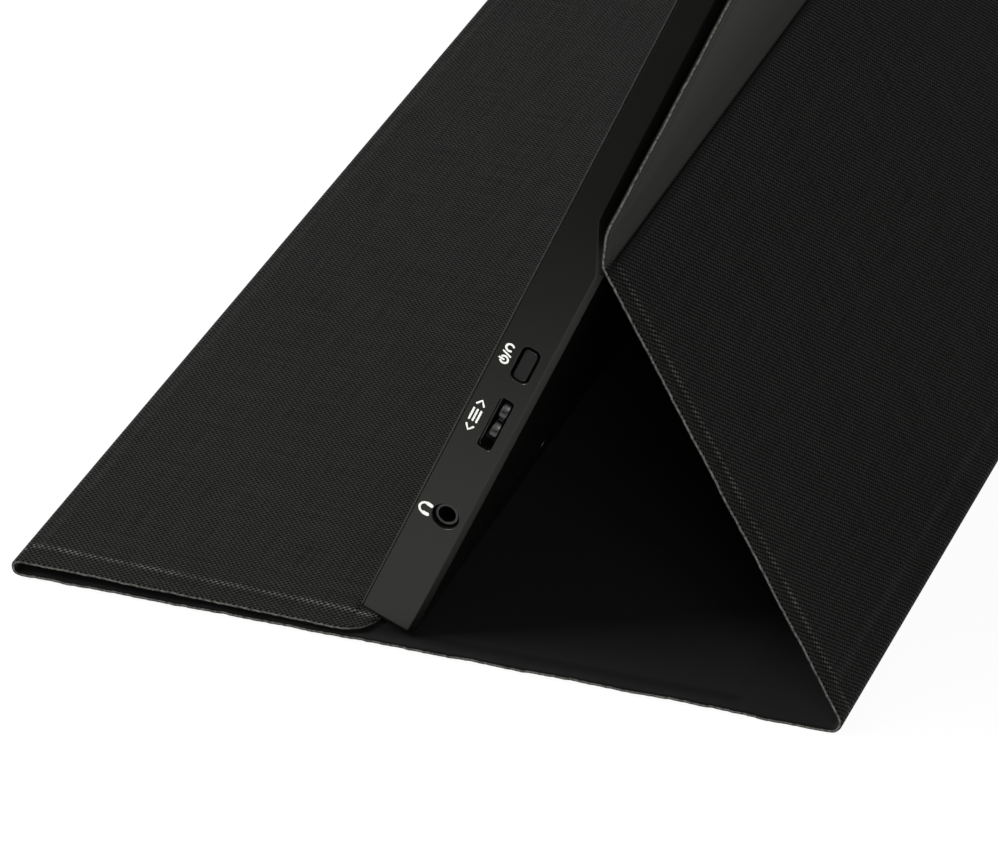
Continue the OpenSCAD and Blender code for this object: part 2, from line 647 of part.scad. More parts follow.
module elbow_strip() color("#2b2b2c") fold(concat([elbow - support_gap * along, elbow - 0.4 * along],
    [for (s = elbow_steps) in_world(upper_n + s[0] * (elbow_n - upper_n),
        elbow_h + s[1] * (upper_h0 - 0.6 - elbow_h))], [in_world(upper_n, upper_h0 - 0.01)]));

rear_shell();
front_bezel();
lcd_cell();
optical_films();
light_guide();
reflector_sheet();
led_bar();
panel_tray();
mid_frame();
main_board();
timing_board();
control_board();
audio_board();
scaler_chip();
board_parts();
board_connectors();
display_cable();
source_film();
usb_c_port_upper();
usb_c_port_lower();
mini_hdmi_port();
headphone_jack();
power_switch();
jog_switch();
speaker_left();
speaker_right();
board_screws();
shell_screws();
shell_plates();
upper_skin();
upper_board();
upper_lining();
upper_magnets();
power_button();
jog_carriage();
menu_lever();
support_skin();
support_board();
support_lining();
elbow_strip();
spine_skin();
spine_lining();
rear_fold_strip();
base_skin();
base_board();
base_lining();
crease_strip();
front_fold_strip();
flap_skin();
flap_board();
flap_lining();
flap_magnets();
flap_hem();
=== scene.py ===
import math

import bmesh
import bpy
import numpy as np
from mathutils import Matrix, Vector


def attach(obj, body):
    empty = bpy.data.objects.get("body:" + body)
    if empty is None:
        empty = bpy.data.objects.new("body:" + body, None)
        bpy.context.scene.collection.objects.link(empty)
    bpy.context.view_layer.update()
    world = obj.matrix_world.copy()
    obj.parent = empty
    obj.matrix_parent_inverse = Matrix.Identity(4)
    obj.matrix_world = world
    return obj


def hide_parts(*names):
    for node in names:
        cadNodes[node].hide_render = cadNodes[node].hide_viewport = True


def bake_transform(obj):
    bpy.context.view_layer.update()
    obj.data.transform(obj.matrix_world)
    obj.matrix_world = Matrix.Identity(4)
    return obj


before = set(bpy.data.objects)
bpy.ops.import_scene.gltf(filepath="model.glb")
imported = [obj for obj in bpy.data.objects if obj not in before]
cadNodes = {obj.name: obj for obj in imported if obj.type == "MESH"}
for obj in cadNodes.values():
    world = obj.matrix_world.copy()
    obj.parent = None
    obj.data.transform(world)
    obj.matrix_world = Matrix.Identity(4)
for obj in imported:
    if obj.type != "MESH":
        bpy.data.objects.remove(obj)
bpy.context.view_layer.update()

# portable monitor leaning in its folded folio cover
# lengths are millimetres; y counts from the screen's lower front corner until toFrame moves it
scene = bpy.context.scene

mm = 0.001  # metres
caseSize = {
    "width": 358, "height": 226, "deckDepth": 11.9, "slabDepth": 8.1, "deckHeight": 95.5,
    "stepRun": 11, "chamfer": 1.3,
}
coverSize = {
    "margin": 3, "fabric": 0.45, "lining": 0.45, "board": 0.7, "hem": 5.5, "flapCorner": 7.5,
    "topCorner": 4, "foldRadius": 1.525, "rearRadius": 2.4, "spine": 14.8, "crease": 6,
    "tuck": 3.3, "clear": 1.2,
}
standSize = {"lean": 65.9, "strut": 61.3, "footGap": 0.15}

lean, strut = math.radians(standSize["lean"]), math.radians(standSize["strut"])
fabricT, liningT = coverSize["fabric"], coverSize["lining"]
halfBoard = coverSize["board"] / 2
clothHalf = caseSize["width"] / 2 + coverSize["margin"]
baseMid = halfBoard + fabricT
baseTop = baseMid + halfBoard + liningT
spineMid = fabricT
sideX = caseSize["width"] / 2
footZ = baseTop + standSize["footGap"] + 0.1 + max(
    caseSize["deckDepth"] * math.cos(lean) - caseSize["chamfer"] * math.sin(lean),
    (caseSize["deckDepth"] - caseSize["chamfer"]) * math.cos(lean))


def leanOut(n, h):  # monitor's own depth and height to y and z
    return np.array([n * math.sin(lean) + h * math.cos(lean),
                     footZ - n * math.cos(lean) + h * math.sin(lean)])


elbowDepth = caseSize["deckDepth"] + 0.15
elbowHeight = caseSize["deckHeight"] + 3.4
elbow = leanOut(elbowDepth, elbowHeight)
up = np.array([-math.cos(strut), math.sin(strut)])  # along the support panel
outward = np.array([math.sin(strut), math.cos(strut)])  # off its fabric side
rearZ = spineMid + coverSize["rearRadius"]
supportL = (elbow[1] - coverSize["rearRadius"] * outward[1] - rearZ) / math.sin(strut)
rearY = elbow[0] + supportL * math.cos(strut) - coverSize["rearRadius"] * outward[0]
creaseY = round(rearY - coverSize["spine"], 2)
flapL = (caseSize["height"] + 2.1 - creaseY + coverSize["tuck"]) / 2
foldY = coverSize["tuck"] - flapL
foldR = coverSize["foldRadius"]
foldZ = baseMid + foldR
baseEnd = creaseY - coverSize["crease"] / 2
spineStart = creaseY + coverSize["crease"] / 2
spineEnd = rearY - 4.1
flapTilt = math.asin((foldZ + foldR - baseTop - halfBoard - liningT - 0.1) / flapL)
flapRigid = flapL - coverSize["tuck"] - coverSize["clear"]
upperDepth = caseSize["slabDepth"] + halfBoard + liningT
upperLow = caseSize["deckHeight"] + caseSize["stepRun"] + 2
upperHigh = caseSize["height"] + coverSize["margin"]
frontY = foldY - foldR - max(fabricT, liningT)
backY = max(leanOut(upperDepth + halfBoard + fabricT, upperHigh)[0],
            rearY + coverSize["rearRadius"] + fabricT)
midY = round(50 * (frontY + backY)) / 100


def toFrame(points):
    return (np.asarray(points, float) - (0, midY, 0)) * mm


def onCase(x, n, h):  # a point given in the monitor's own x, depth and height
    y, z = leanOut(n, h)
    return toFrame((x, y, z))


# camera, fitted to the straight edges of the cover and the monitor
viewPoint = {
    "place": (1.12984, 0.36035, 0.62568), "forward": (-0.8177, -0.2973, -0.4929),
    "lens": 219.99, "film": 36.0,
}
cameraData = bpy.data.cameras.new("viewCamera")
cameraData.lens, cameraData.sensor_width = viewPoint["lens"], viewPoint["film"]
cameraData.sensor_fit = "HORIZONTAL"
cameraData.clip_start, cameraData.clip_end = 0.05, 50
camera = bpy.data.objects.new("viewCamera", cameraData)
scene.collection.objects.link(camera)
camera.location = viewPoint["place"]
camera.rotation_euler = Vector(viewPoint["forward"]).to_track_quat("-Z", "Y").to_euler()
scene.camera = camera
scene.view_settings.view_transform = "Standard"
print("camera placed")


# materials
def linear(hexCode):  # sRGB hex to the linear colour that a shader takes
    parts = [int(hexCode[i:i + 2], 16) / 255 for i in (1, 3, 5)]
    return [c / 12.92 if c <= 0.04045 else ((c + 0.055) / 1.055) ** 2.4 for c in parts] + [1.0]


def addNode(tree, kind, settings=None, values=None, links=None):
    node = tree.nodes.new(kind)
    for key, value in (settings or {}).items():
        setattr(node, key, value)
    for key, value in (values or {}).items():
        node.inputs[key].default_value = value
    for key, socket in (links or {}).items():
        tree.links.new(socket, node.inputs[key])
    return node


def startLook(name, shine):  # shine holds what is the same all over the surface
    look = bpy.data.materials.new(name)
    look.use_nodes = True
    shader = look.node_tree.nodes["Principled BSDF"]
    for key, value in shine.items():
        shader.inputs[key].default_value = value
    return look, look.node_tree, shader


def setRamp(ramp, places, colours):
    for element, place, colour in zip(ramp.color_ramp.elements, places, colours):
        element.position, element.color = place, linear(colour)


def joinLook(tree, shader, colour, gloss, bump):
    tree.links.new(colour, shader.inputs["Base Color"])
    tree.links.new(gloss.outputs["Result"], shader.inputs["Roughness"])
    tree.links.new(bump.outputs["Normal"], shader.inputs["Normal"])


def perMetre(size):  # pattern scale from the size of one repeat
    return 1000.0 / size


def mottledLook(name, colours, patch, grain, depth, rough, shine, stretch=(1, 1, 1)):
    # colours drift over patches, and a fine grain gives the bump; stretch below 1 draws it out
    look, tree, shader = startLook(name, shine)
    place = addNode(tree, "ShaderNodeTexCoord")
    drawn = addNode(tree, "ShaderNodeMapping", values={"Scale": stretch},
                    links={"Vector": place.outputs["Object"]})
    drift = addNode(tree, "ShaderNodeTexNoise", values={"Scale": perMetre(patch), "Detail": 3.0},
                    links={"Vector": place.outputs["Object"]})
    fine = addNode(tree, "ShaderNodeTexNoise", values={"Scale": perMetre(grain), "Detail": 4.0},
                   links={"Vector": drawn.outputs["Vector"]})
    both = addNode(tree, "ShaderNodeMath", {"operation": "MULTIPLY_ADD"}, {1: 0.35},
                   {0: fine.outputs["Fac"], 2: drift.outputs["Fac"]})
    ramp = addNode(tree, "ShaderNodeValToRGB", links={"Fac": both.outputs[0]})
    setRamp(ramp, (0.42, 0.92), colours)
    gloss = addNode(tree, "ShaderNodeMapRange", values={
        "From Min": 0.3, "From Max": 0.7, "To Min": rough[0], "To Max": rough[1]},
        links={"Value": fine.outputs["Fac"]})
    bump = addNode(tree, "ShaderNodeBump", values={"Strength": 1.0, "Distance": depth * mm},
                   links={"Height": fine.outputs["Fac"]})
    joinLook(tree, shader, ramp.outputs["Color"], gloss, bump)
    return look


def weaveCoords(tree):  # the cover's own map: across it and along it, in metres, as if laid flat
    flat = addNode(tree, "ShaderNodeUVMap", {"uv_map": "weave"})
    return flat, addNode(tree, "ShaderNodeSeparateXYZ", links={"Vector": flat.outputs["UV"]})


fabricLook = {
    "across": 0.615, "along": 0.565,  # millimetres from one thread to the next, each way
    "depth": 0.03, "shade": "#080808", "crown": "#292928", "fleck": "#3c3c3b",
    "twill": 0.2,  # how much stronger the pressing left one diagonal than the other
    "ridge": 4.4, "flapRidge": 6.1,  # from the cut edge to the boards, where crowns are painted pale: a painted highlight along the ridge
    "ridgeHighlight": "#5c5c58", "ridgeWidth": 1.2,
    "tautSheen": "#292927",  # past the elbow it is stretched smooth, and its colour is lighter: painted sheen of the grazing band
    "creaseShade": 2.9,  # and painted dark in the crease below, over this width: painted shade
}
liningLook = {"nap": 0.25, "depth": 0.05, "shade": "#030303", "crown": "#070707"}
cutLook = {"fibre": 0.35, "shade": "#282826", "crown": "#565652", "depth": 0.12}


def wovenPolyester():
    # plain weave of coarse black polyester, pressed: pale pinpoint crowns in a checker of threads
    look, tree, shader = startLook("wovenPolyester", {
        "IOR": 1.5, "Specular IOR Level": 0.02, "Sheen Weight": 0.02, "Sheen Roughness": 0.4})
    flat, split = weaveCoords(tree)
    wander = addNode(tree, "ShaderNodeTexNoise", values={"Scale": perMetre(7), "Detail": 2.0},
                     links={"Vector": flat.outputs["UV"]})
    jitter = addNode(tree, "ShaderNodeTexNoise", values={"Scale": perMetre(1.3), "Detail": 1.0},
                     links={"Vector": flat.outputs["UV"]})
    loose = addNode(tree, "ShaderNodeMath", {"operation": "MULTIPLY_ADD"}, {1: 0.32},
                    {0: jitter.outputs["Fac"], 2: wander.outputs["Fac"]})
    turns, waves = [], []
    # one sine across each set of threads, nudged so that no row is ruled
    for side, pitch in (("X", fabricLook["across"]), ("Y", fabricLook["along"])):
        nudged = addNode(tree, "ShaderNodeMath", {"operation": "MULTIPLY_ADD"}, {1: 0.0008},
                         {0: loose.outputs[0], 2: split.outputs[side]})
        turned = addNode(tree, "ShaderNodeMath", {"operation": "MULTIPLY"},
                         {1: math.pi * perMetre(pitch)}, {0: nudged.outputs[0]})
        turns.append(turned)
        waves.append(addNode(tree, "ShaderNodeMath", {"operation": "SINE"},
                             links={0: turned.outputs[0]}))
    crossed = addNode(tree, "ShaderNodeMath", {"operation": "MULTIPLY"},
                      links={0: waves[0].outputs[0], 1: waves[1].outputs[0]})
    slant = addNode(tree, "ShaderNodeMath", {"operation": "SUBTRACT"},
                    links={0: turns[0].outputs[0], 1: turns[1].outputs[0]})
    slant = addNode(tree, "ShaderNodeMath", {"operation": "COSINE"}, links={0: slant.outputs[0]})
    crossed = addNode(tree, "ShaderNodeMath", {"operation": "MULTIPLY_ADD"}, {
        1: fabricLook["twill"]}, {0: slant.outputs[0], 2: crossed.outputs[0]})
    crown = addNode(tree, "ShaderNodeMapRange", {"interpolation_type": "SMOOTHSTEP"}, {
        "From Min": -0.75, "From Max": 1.1}, {"Value": crossed.outputs[0]})
    slub = []
    for stretch in ((60.0, 2200.0, 1.0), (2200.0, 60.0, 1.0)):  # threads differ a little in shade
        drawn = addNode(tree, "ShaderNodeMapping", values={"Scale": stretch},
                        links={"Vector": flat.outputs["UV"]})
        slub.append(addNode(tree, "ShaderNodeTexNoise", values={"Scale": 1.0, "Detail": 1.0},
                            links={"Vector": drawn.outputs["Vector"]}))
    threads = addNode(tree, "ShaderNodeMath", {"operation": "ADD"},
                      links={0: slub[0].outputs["Fac"], 1: slub[1].outputs["Fac"]})
    tone = addNode(tree, "ShaderNodeMapRange", values={
        "From Min": 0.6, "From Max": 1.4, "To Min": 0.5, "To Max": 1.4},
        links={"Value": threads.outputs[0]})
    level = addNode(tree, "ShaderNodeMath", {"operation": "MULTIPLY", "use_clamp": True},
                    links={0: crown.outputs["Result"], 1: tone.outputs["Result"]})
    # past the elbow's crease the cloth is drawn smooth and painted lighter, a painted sheen, and
    # just below the crease lies the painted shade; its place is set when the cover is laid out
    past = addNode(tree, "ShaderNodeMath", {"operation": "SUBTRACT", "name": "pastCrease"},
                   {1: 1.0}, {0: split.outputs["Y"]})
    frayed = addNode(tree, "ShaderNodeMath", {"operation": "MULTIPLY_ADD"}, {1: 0.0009},
                     {0: level.outputs[0], 2: past.outputs[0]})
    tautSheen = addNode(tree, "ShaderNodeMapRange", values={"From Min": 0.0001, "From Max": 0.0007},
                   links={"Value": frayed.outputs[0]})
    # painted shade: the weave is darkened in a band just below the elbow's crease, with a jagged
    # top
    paintedCreaseShade = addNode(tree, "ShaderNodeMapRange", {"interpolation_type": "SMOOTHSTEP"}, {
        "From Min": -fabricLook["creaseShade"] * mm, "From Max": -0.0004,
        "To Min": 0.0, "To Max": 0.8}, {"Value": past.outputs[0]})
    above = addNode(tree, "ShaderNodeMapRange", values={
        "From Min": 0.0001, "From Max": 0.0005, "To Min": 1.0, "To Max": 0.0},
        links={"Value": frayed.outputs[0]})
    paintedCreaseShade = addNode(tree, "ShaderNodeMath", {"operation": "MULTIPLY"},
                   links={0: paintedCreaseShade.outputs["Result"], 1: above.outputs["Result"]})
    outsideCreaseShade = addNode(tree, "ShaderNodeMath", {"operation": "SUBTRACT"}, {0: 1.0}, {1: paintedCreaseShade.outputs[0]})
    level = addNode(tree, "ShaderNodeMath", {"operation": "MULTIPLY"},
                    links={0: level.outputs[0], 1: outsideCreaseShade.outputs[0]})
    # painted sheen: past the crease the weave fades and the cloth is painted lighter
    ease = addNode(tree, "ShaderNodeMath", {"operation": "MULTIPLY"}, {1: 0.8},
                   {0: tautSheen.outputs["Result"]})
    level = addNode(tree, "ShaderNodeMix", {"data_type": "FLOAT"}, {3: 0.62},
                    {0: ease.outputs[0], 2: level.outputs[0]})
    cloth = addNode(tree, "ShaderNodeMix", {"data_type": "RGBA"}, {
        6: linear(fabricLook["shade"]), 7: linear(fabricLook["crown"])},
        {0: level.outputs[0]})
    cloth = addNode(tree, "ShaderNodeMix", {"data_type": "RGBA"}, {7: linear(fabricLook["tautSheen"])},
                    {0: ease.outputs[0], 6: cloth.outputs[2]})
    # painted highlight on the ridge over the boards' edge: its crowns are painted pale in patches
    fromEdge = addNode(tree, "ShaderNodeMath", {"operation": "PINGPONG"}, {1: clothHalf * mm},
                       {0: split.outputs["X"]})
    onFlap = addNode(tree, "ShaderNodeMath", {"operation": "LESS_THAN"}, {1: flapL * mm},
                     {0: split.outputs["Y"]})
    ridge = addNode(tree, "ShaderNodeMapRange", values={
        "To Min": fabricLook["ridge"] * mm, "To Max": fabricLook["flapRidge"] * mm},
        links={"Value": onFlap.outputs[0]})
    offRidge = addNode(tree, "ShaderNodeMath", {"operation": "SUBTRACT"},
                       links={0: fromEdge.outputs[0], 1: ridge.outputs["Result"]})
    offRidge = addNode(tree, "ShaderNodeMath", {"operation": "ABSOLUTE"},
                       links={0: offRidge.outputs[0]})
    nearRidge = addNode(tree, "ShaderNodeMapRange", {"interpolation_type": "SMOOTHSTEP"}, {
        "From Min": fabricLook["ridgeWidth"] * mm, "From Max": 0.0,
        "To Min": 0.0, "To Max": 1.0}, {"Value": offRidge.outputs[0]})
    patchy = addNode(tree, "ShaderNodeTexNoise", values={"Scale": perMetre(5), "Detail": 2.0},
                     links={"Vector": flat.outputs["UV"]})
    glintPatches = addNode(tree, "ShaderNodeMapRange", values={"From Min": 0.15, "From Max": 0.6},
                   links={"Value": patchy.outputs["Fac"]})
    ridgeGlint = addNode(tree, "ShaderNodeMath", {"operation": "MULTIPLY"},
                  links={0: nearRidge.outputs["Result"], 1: glintPatches.outputs["Result"]})
    boarded = addNode(tree, "ShaderNodeMath", {"operation": "SUBTRACT"}, {0: 1.0},
                      {1: tautSheen.outputs["Result"]})
    ridgeGlint = addNode(tree, "ShaderNodeMath", {"operation": "MULTIPLY"},
                  links={0: ridgeGlint.outputs[0], 1: boarded.outputs[0]})
    tips = addNode(tree, "ShaderNodeMath", {"operation": "POWER"}, {1: 2.0}, {0: level.outputs[0]})
    ridgeGlint = addNode(tree, "ShaderNodeMath", {"operation": "MULTIPLY", "use_clamp": True},
                  links={0: ridgeGlint.outputs[0], 1: tips.outputs[0]})
    dust = addNode(tree, "ShaderNodeTexNoise", values={"Scale": perMetre(0.6), "Detail": 1.0},
                   links={"Vector": flat.outputs["UV"]})
    flecked = addNode(tree, "ShaderNodeMapRange", values={
        "From Min": 0.7, "From Max": 0.8, "To Min": 0.0, "To Max": 0.3},
        links={"Value": dust.outputs["Fac"]})
    mixed = addNode(tree, "ShaderNodeMix", {"data_type": "RGBA"}, {7: linear(fabricLook["fleck"])},
                    {0: flecked.outputs["Result"], 6: cloth.outputs[2]})
    mixed = addNode(tree, "ShaderNodeMix", {"data_type": "RGBA"}, {7: linear(fabricLook["ridgeHighlight"])},
                    {0: ridgeGlint.outputs[0], 6: mixed.outputs[2]})
    gloss = addNode(tree, "ShaderNodeMapRange", values={"To Min": 0.8, "To Max": 0.5},
                    links={"Value": level.outputs[0]})
    bump = addNode(tree, "ShaderNodeBump", values={
        "Strength": 0.8, "Distance": fabricLook["depth"] * mm},
        links={"Height": level.outputs[0]})
    joinLook(tree, shader, mixed.outputs[2], gloss, bump)
    return look


def brushedLining():
    # brushed microfibre, almost black: a short nap that swallows light, with faint strokes
    look, tree, shader = startLook("brushedMicrofibre", {
        "IOR": 1.45, "Specular IOR Level": 0.06, "Sheen Weight": 0.06, "Sheen Roughness": 0.5})
    flat = weaveCoords(tree)[0]
    nap = addNode(tree, "ShaderNodeTexNoise", values={
        "Scale": perMetre(liningLook["nap"]), "Detail": 3.0}, links={"Vector": flat.outputs["UV"]})
    stroke = addNode(tree, "ShaderNodeTexNoise", values={"Scale": perMetre(22), "Detail": 2.0},
                     links={"Vector": flat.outputs["UV"]})
    level = addNode(tree, "ShaderNodeMath", {"operation": "MULTIPLY"},
                    links={0: nap.outputs["Fac"], 1: stroke.outputs["Fac"]})
    cloth = addNode(tree, "ShaderNodeMix", {"data_type": "RGBA"}, {
        6: linear(liningLook["shade"]), 7: linear(liningLook["crown"])}, {0: level.outputs[0]})
    bump = addNode(tree, "ShaderNodeBump", values={
        "Strength": 0.6, "Distance": liningLook["depth"] * mm},
        links={"Height": nap.outputs["Fac"]})
    gloss = addNode(tree, "ShaderNodeMapRange", values={"To Min": 1.0, "To Max": 0.85},
                    links={"Value": nap.outputs["Fac"]})
    joinLook(tree, shader, cloth.outputs[2], gloss, bump)
    return look


def cutLaminate():
    # raw cut edge of the laminate: pale polyester ends and glue, uneven from thread to thread
    look, tree, shader = startLook("cutLaminate", {"IOR": 1.5, "Specular IOR Level": 0.2})
    place = addNode(tree, "ShaderNodeTexCoord")
    ends = addNode(tree, "ShaderNodeTexNoise", values={
        "Scale": perMetre(cutLook["fibre"] * 2), "Detail": 3.0},
        links={"Vector": place.outputs["Object"]})
    ramp = addNode(tree, "ShaderNodeValToRGB", links={"Fac": ends.outputs["Fac"]})
    setRamp(ramp, (0.34, 0.6), (cutLook["shade"], cutLook["crown"]))
    bump = addNode(tree, "ShaderNodeBump", values={
        "Strength": 0.8, "Distance": cutLook["depth"] * mm},
        links={"Height": ends.outputs["Fac"]})
    gloss = addNode(tree, "ShaderNodeMapRange", values={"To Min": 0.95, "To Max": 0.7},
                    links={"Value": ends.outputs["Fac"]})
    joinLook(tree, shader, ramp.outputs["Color"], gloss, bump)
    return look


def printedBoard():
    # green solder mask over copper tracks: short runs that turn square corners, a little raised
    look, tree, shader = startLook("solderMask", {
        "IOR": 1.5, "Coat Weight": 0.3, "Coat Roughness": 0.2})
    place = addNode(tree, "ShaderNodeTexCoord")
    tracks = addNode(tree, "ShaderNodeTexBrick", {"offset": 0.37, "squash": 1.6}, {
        "Scale": perMetre(1.0), "Mortar Size": 0.16, "Brick Width": 5.2, "Row Height": 1.3,
        "Color1": linear("#1c4a30"), "Color2": linear("#173f29"), "Mortar": linear("#2b6a44")},
        {"Vector": place.outputs["Object"]})
    cloudy = addNode(tree, "ShaderNodeTexNoise", values={"Scale": perMetre(7), "Detail": 2.0},
                     links={"Vector": place.outputs["Object"]})
    gloss = addNode(tree, "ShaderNodeMapRange", values={"To Min": 0.28, "To Max": 0.5},
                    links={"Value": cloudy.outputs["Fac"]})
    bump = addNode(tree, "ShaderNodeBump", values={"Strength": 0.5, "Distance": 0.00003},
                   links={"Height": tracks.outputs["Fac"]})
    joinLook(tree, shader, tracks.outputs["Color"], gloss, bump)
    return look


plastic = {"IOR": 1.5, "Specular IOR Level": 0.3}
casePlastic = {"IOR": 1.5, "Specular IOR Level": 0.37, "Specular Tint": (1.0, 1.0, 0.94, 1.0)}
metal = {"Metallic": 1.0}
looks = {
    "fabric": wovenPolyester(), "lining": brushedLining(), "cut": cutLaminate(),
    "board": printedBoard(),
    # moulded ABS, fine spark-eroded texture: soft grey sheen with a barely seen grain
    "case": mottledLook("mouldedAbs", ("#080807", "#0b0b0a"), 60, 0.22, 0.01, (0.33, 0.4),
                        casePlastic),
    # the front frame is the same ABS from a finer mould, a touch darker and smoother
    "bezel": mottledLook("fineMouldedAbs", ("#101010", "#141413"), 50, 0.18, 0.008, (0.34, 0.42),
                         {"IOR": 1.5, "Specular IOR Level": 0.4}),
    # panel glass under an etched anti-glare polariser: deep black, blurred reflections
    "screen": mottledLook("etchedPolariser", ("#050607", "#08090b"), 120, 0.2, 0.003, (0.22, 0.3),
                          {"IOR": 1.5, "Specular IOR Level": 0.45}),
    # moulded ABS caps, glossier from handling
    "button": mottledLook("mouldedAbsCap", ("#0a0a0a", "#0e0e0e"), 6, 0.2, 0.006, (0.36, 0.46),
                          {"IOR": 1.5, "Specular IOR Level": 0.32}),
    # glossy ABS lever, polished by the thumb on its lobes
    "lever": mottledLook("polishedAbs", ("#0c0c0c", "#121211"), 4, 0.3, 0.004, (0.26, 0.36),
                         {"IOR": 1.5, "Specular IOR Level": 0.7}),
    # glass-filled nylon of the socket's body: grey-black, slightly rough
    "socket": mottledLook("glassFilledNylon", ("#161717", "#1f2020"), 2, 0.15, 0.01, (0.34, 0.44),
                          {"IOR": 1.53, "Specular IOR Level": 0.5}),
    # the same nylon deep in the bore, matt from the tool; its colour is near black: painted shade
    # inside the bore
    "bore": mottledLook("boreNylonPaintedShade", ("#020202", "#050505"), 2, 0.15, 0.01, (0.8, 0.9),
                        {"IOR": 1.4, "Specular IOR Level": 0.05}),
    # pad-printed white ink: matt, thin, a little uneven
    "ink": mottledLook("padPrintInk", ("#dcdcd6", "#f2f2ee"), 0.6, 0.12, 0.01, (0.6, 0.75),
                       {"IOR": 1.5, "Specular IOR Level": 0.3}),
    # stainless strip of the ports' shells: drawn, so its fine lines run along the shell
    "portSteel": mottledLook("drawnStainless", ("#9c9fa2", "#b9bcbf"), 3, 0.12, 0.006, (0.22, 0.36),
                             metal, (0.08, 1, 1)),
    # zinc-plated steel screws: pale with a faint blue bloom
    "screw": mottledLook("zincPlatedSteel", ("#8b8f95", "#b4b7bb"), 2, 0.2, 0.006, (0.25, 0.42),
                         metal),
    # tin-plated switch metal
    "switchMetal": mottledLook("tinPlate", ("#b3b6b8", "#cfd2d4"), 3, 0.2, 0.004, (0.25, 0.4),
                               metal),
    # galvanised sheet behind the screen: spangle patches under drawn lines
    "sheet": mottledLook("galvanisedSheet", ("#7c8286", "#a3a9ad"), 5, 0.3, 0.01, (0.32, 0.5),
                         metal,
                         (0.15, 1, 1)),
    # nickel-plated neodymium
    "magnet": mottledLook("nickelPlate", ("#a09d97", "#bdbab3"), 8, 0.4, 0.004, (0.18, 0.3), metal),
    # black polycarbonate frame of the panel
    "frame": mottledLook("blackPolycarbonate", ("#101112", "#18191a"), 20, 0.3, 0.008, (0.35, 0.5),
                         plastic),
    # epoxy chip body: matt black with the grit of moulding compound
    "chip": mottledLook("epoxyCompound", ("#121314", "#1d1e1f"), 1.5, 0.15, 0.01, (0.5, 0.7),
                        plastic),
    # LCP connector housings: warm ivory, satin
    "connector": mottledLook("ivoryPolymer", ("#cfc9b8", "#ded9cb"), 2.5, 0.2, 0.01, (0.4, 0.55),
                             plastic),
    # switch housings of glass-filled nylon
    "switchPlastic": mottledLook("nylonHousing", ("#262729", "#333436"), 3, 0.2, 0.01, (0.4, 0.55),
                                 plastic),
    # speaker box: black ABS with a coarse cloth-like grain where it faces the slots
    "speaker": mottledLook("speakerBox", ("#17181a", "#27282a"), 3, 0.5, 0.03, (0.5, 0.7), plastic),
    # grey paperboard in the cover: fibres and specks
    "greyboard": mottledLook("greyboard", ("#6f6658", "#9a9082"), 2.2, 0.6, 0.04, (0.85, 0.95),
                             {"IOR": 1.45, "Specular IOR Level": 0.15}, (1, 0.4, 1)),
    # polyimide film over copper runs: amber, glossy
    "amber": mottledLook("polyimideFilm", ("#a06a26", "#c98c45"), 1.2, 0.4, 0.005, (0.2, 0.32),
                         {"IOR": 1.7, "Specular IOR Level": 0.5}, (1, 0.1, 1)),
    # diffuser films and reflector: milky white, silky
    "film": mottledLook("diffuserFilm", ("#dfe3e6", "#eef1f2"), 30, 0.4, 0.004, (0.35, 0.5),
                        {"IOR": 1.58, "Specular IOR Level": 0.4}),
    # light guide of clear acrylic with printed dots on its back
    "acrylic": mottledLook("printedAcrylic", ("#c9d6dc", "#eef5f8"), 1.4, 0.8, 0.01, (0.05, 0.14),
                           {"IOR": 1.49, "Transmission Weight": 0.4}),
    # LED strip: white lacquer with phosphor-yellow chips
    "led": mottledLook("ledStrip", ("#e3d79f", "#f3efdc"), 4, 0.6, 0.006, (0.3, 0.5), plastic),
}
print("materials made:", len(looks))


# meshes
def newPiece(name, points, faces, uv=None, matOf=None, surfaces=(), sharp=38):
    mesh = bpy.data.meshes.new(name)
    mesh.from_pydata([tuple(p) for p in points], [], [tuple(f) for f in faces])
    for surface in surfaces:
        mesh.materials.append(looks[surface])
    if matOf is not None:
        mesh.polygons.foreach_set("material_index", np.asarray(matOf, np.int32))
    if uv is not None:
        corner = np.empty(len(mesh.loops), np.int32)
        mesh.loops.foreach_get("vertex_index", corner)
        layer = mesh.uv_layers.new(name="weave")
        layer.data.foreach_set("uv", np.asarray(uv, np.float32)[corner].ravel())
    work = bmesh.new()
    work.from_mesh(mesh)
    bmesh.ops.recalc_face_normals(work, faces=work.faces)
    work.to_mesh(mesh)
    work.free()
    mesh.polygons.foreach_set("use_smooth", np.ones(len(mesh.polygons), bool))
    mesh.set_sharp_from_angle(angle=math.radians(sharp))
    piece = bpy.data.objects.new(name, mesh)
    scene.collection.objects.link(piece)
    return piece


def smooth(t):
    t = np.clip(t, 0, 1)
    return t * t * (3 - 2 * t)


# the cover is one laminate of fabric, board and lining; s runs along it from the flap's free edge
clothCut = {
    "pale": 0.2,  # half of the pale band on a cut edge
    "rim": 0.4,  # over which the pressed edge rounds off
    # height and length of the cut's waves
    "wobble": ((0.05, 2.9), (0.05, 1.71), (0.05, 7.3), (0.07, 23)),
    "slack": 0.035,  # how far the fabric stands off its board here and there
    "curl": {"base": -0.26, "support": 0.16, "flap": 0.14, "upper": 0.14},  # waves of the bare hem
}
ramps = {"flap": (2.8, 6.9), "else": (2.2, 5.3)}  # where the laminate rises onto its board


def cutWobble(s, side):
    total = np.zeros_like(np.asarray(s, float))
    for i, (height, length) in enumerate(clothCut["wobble"]):
        total = total + height * np.sin(2 * math.pi * s / length + 1.7 * i + 2.3 * side)
    return total


def slackAt(x, s):
    return clothCut["slack"] * (1 + 0.5 * np.sin(x / 9.1 + 0.7) * np.sin(s / 7.3)
                                + 0.5 * np.sin(x / 23 + s / 17))


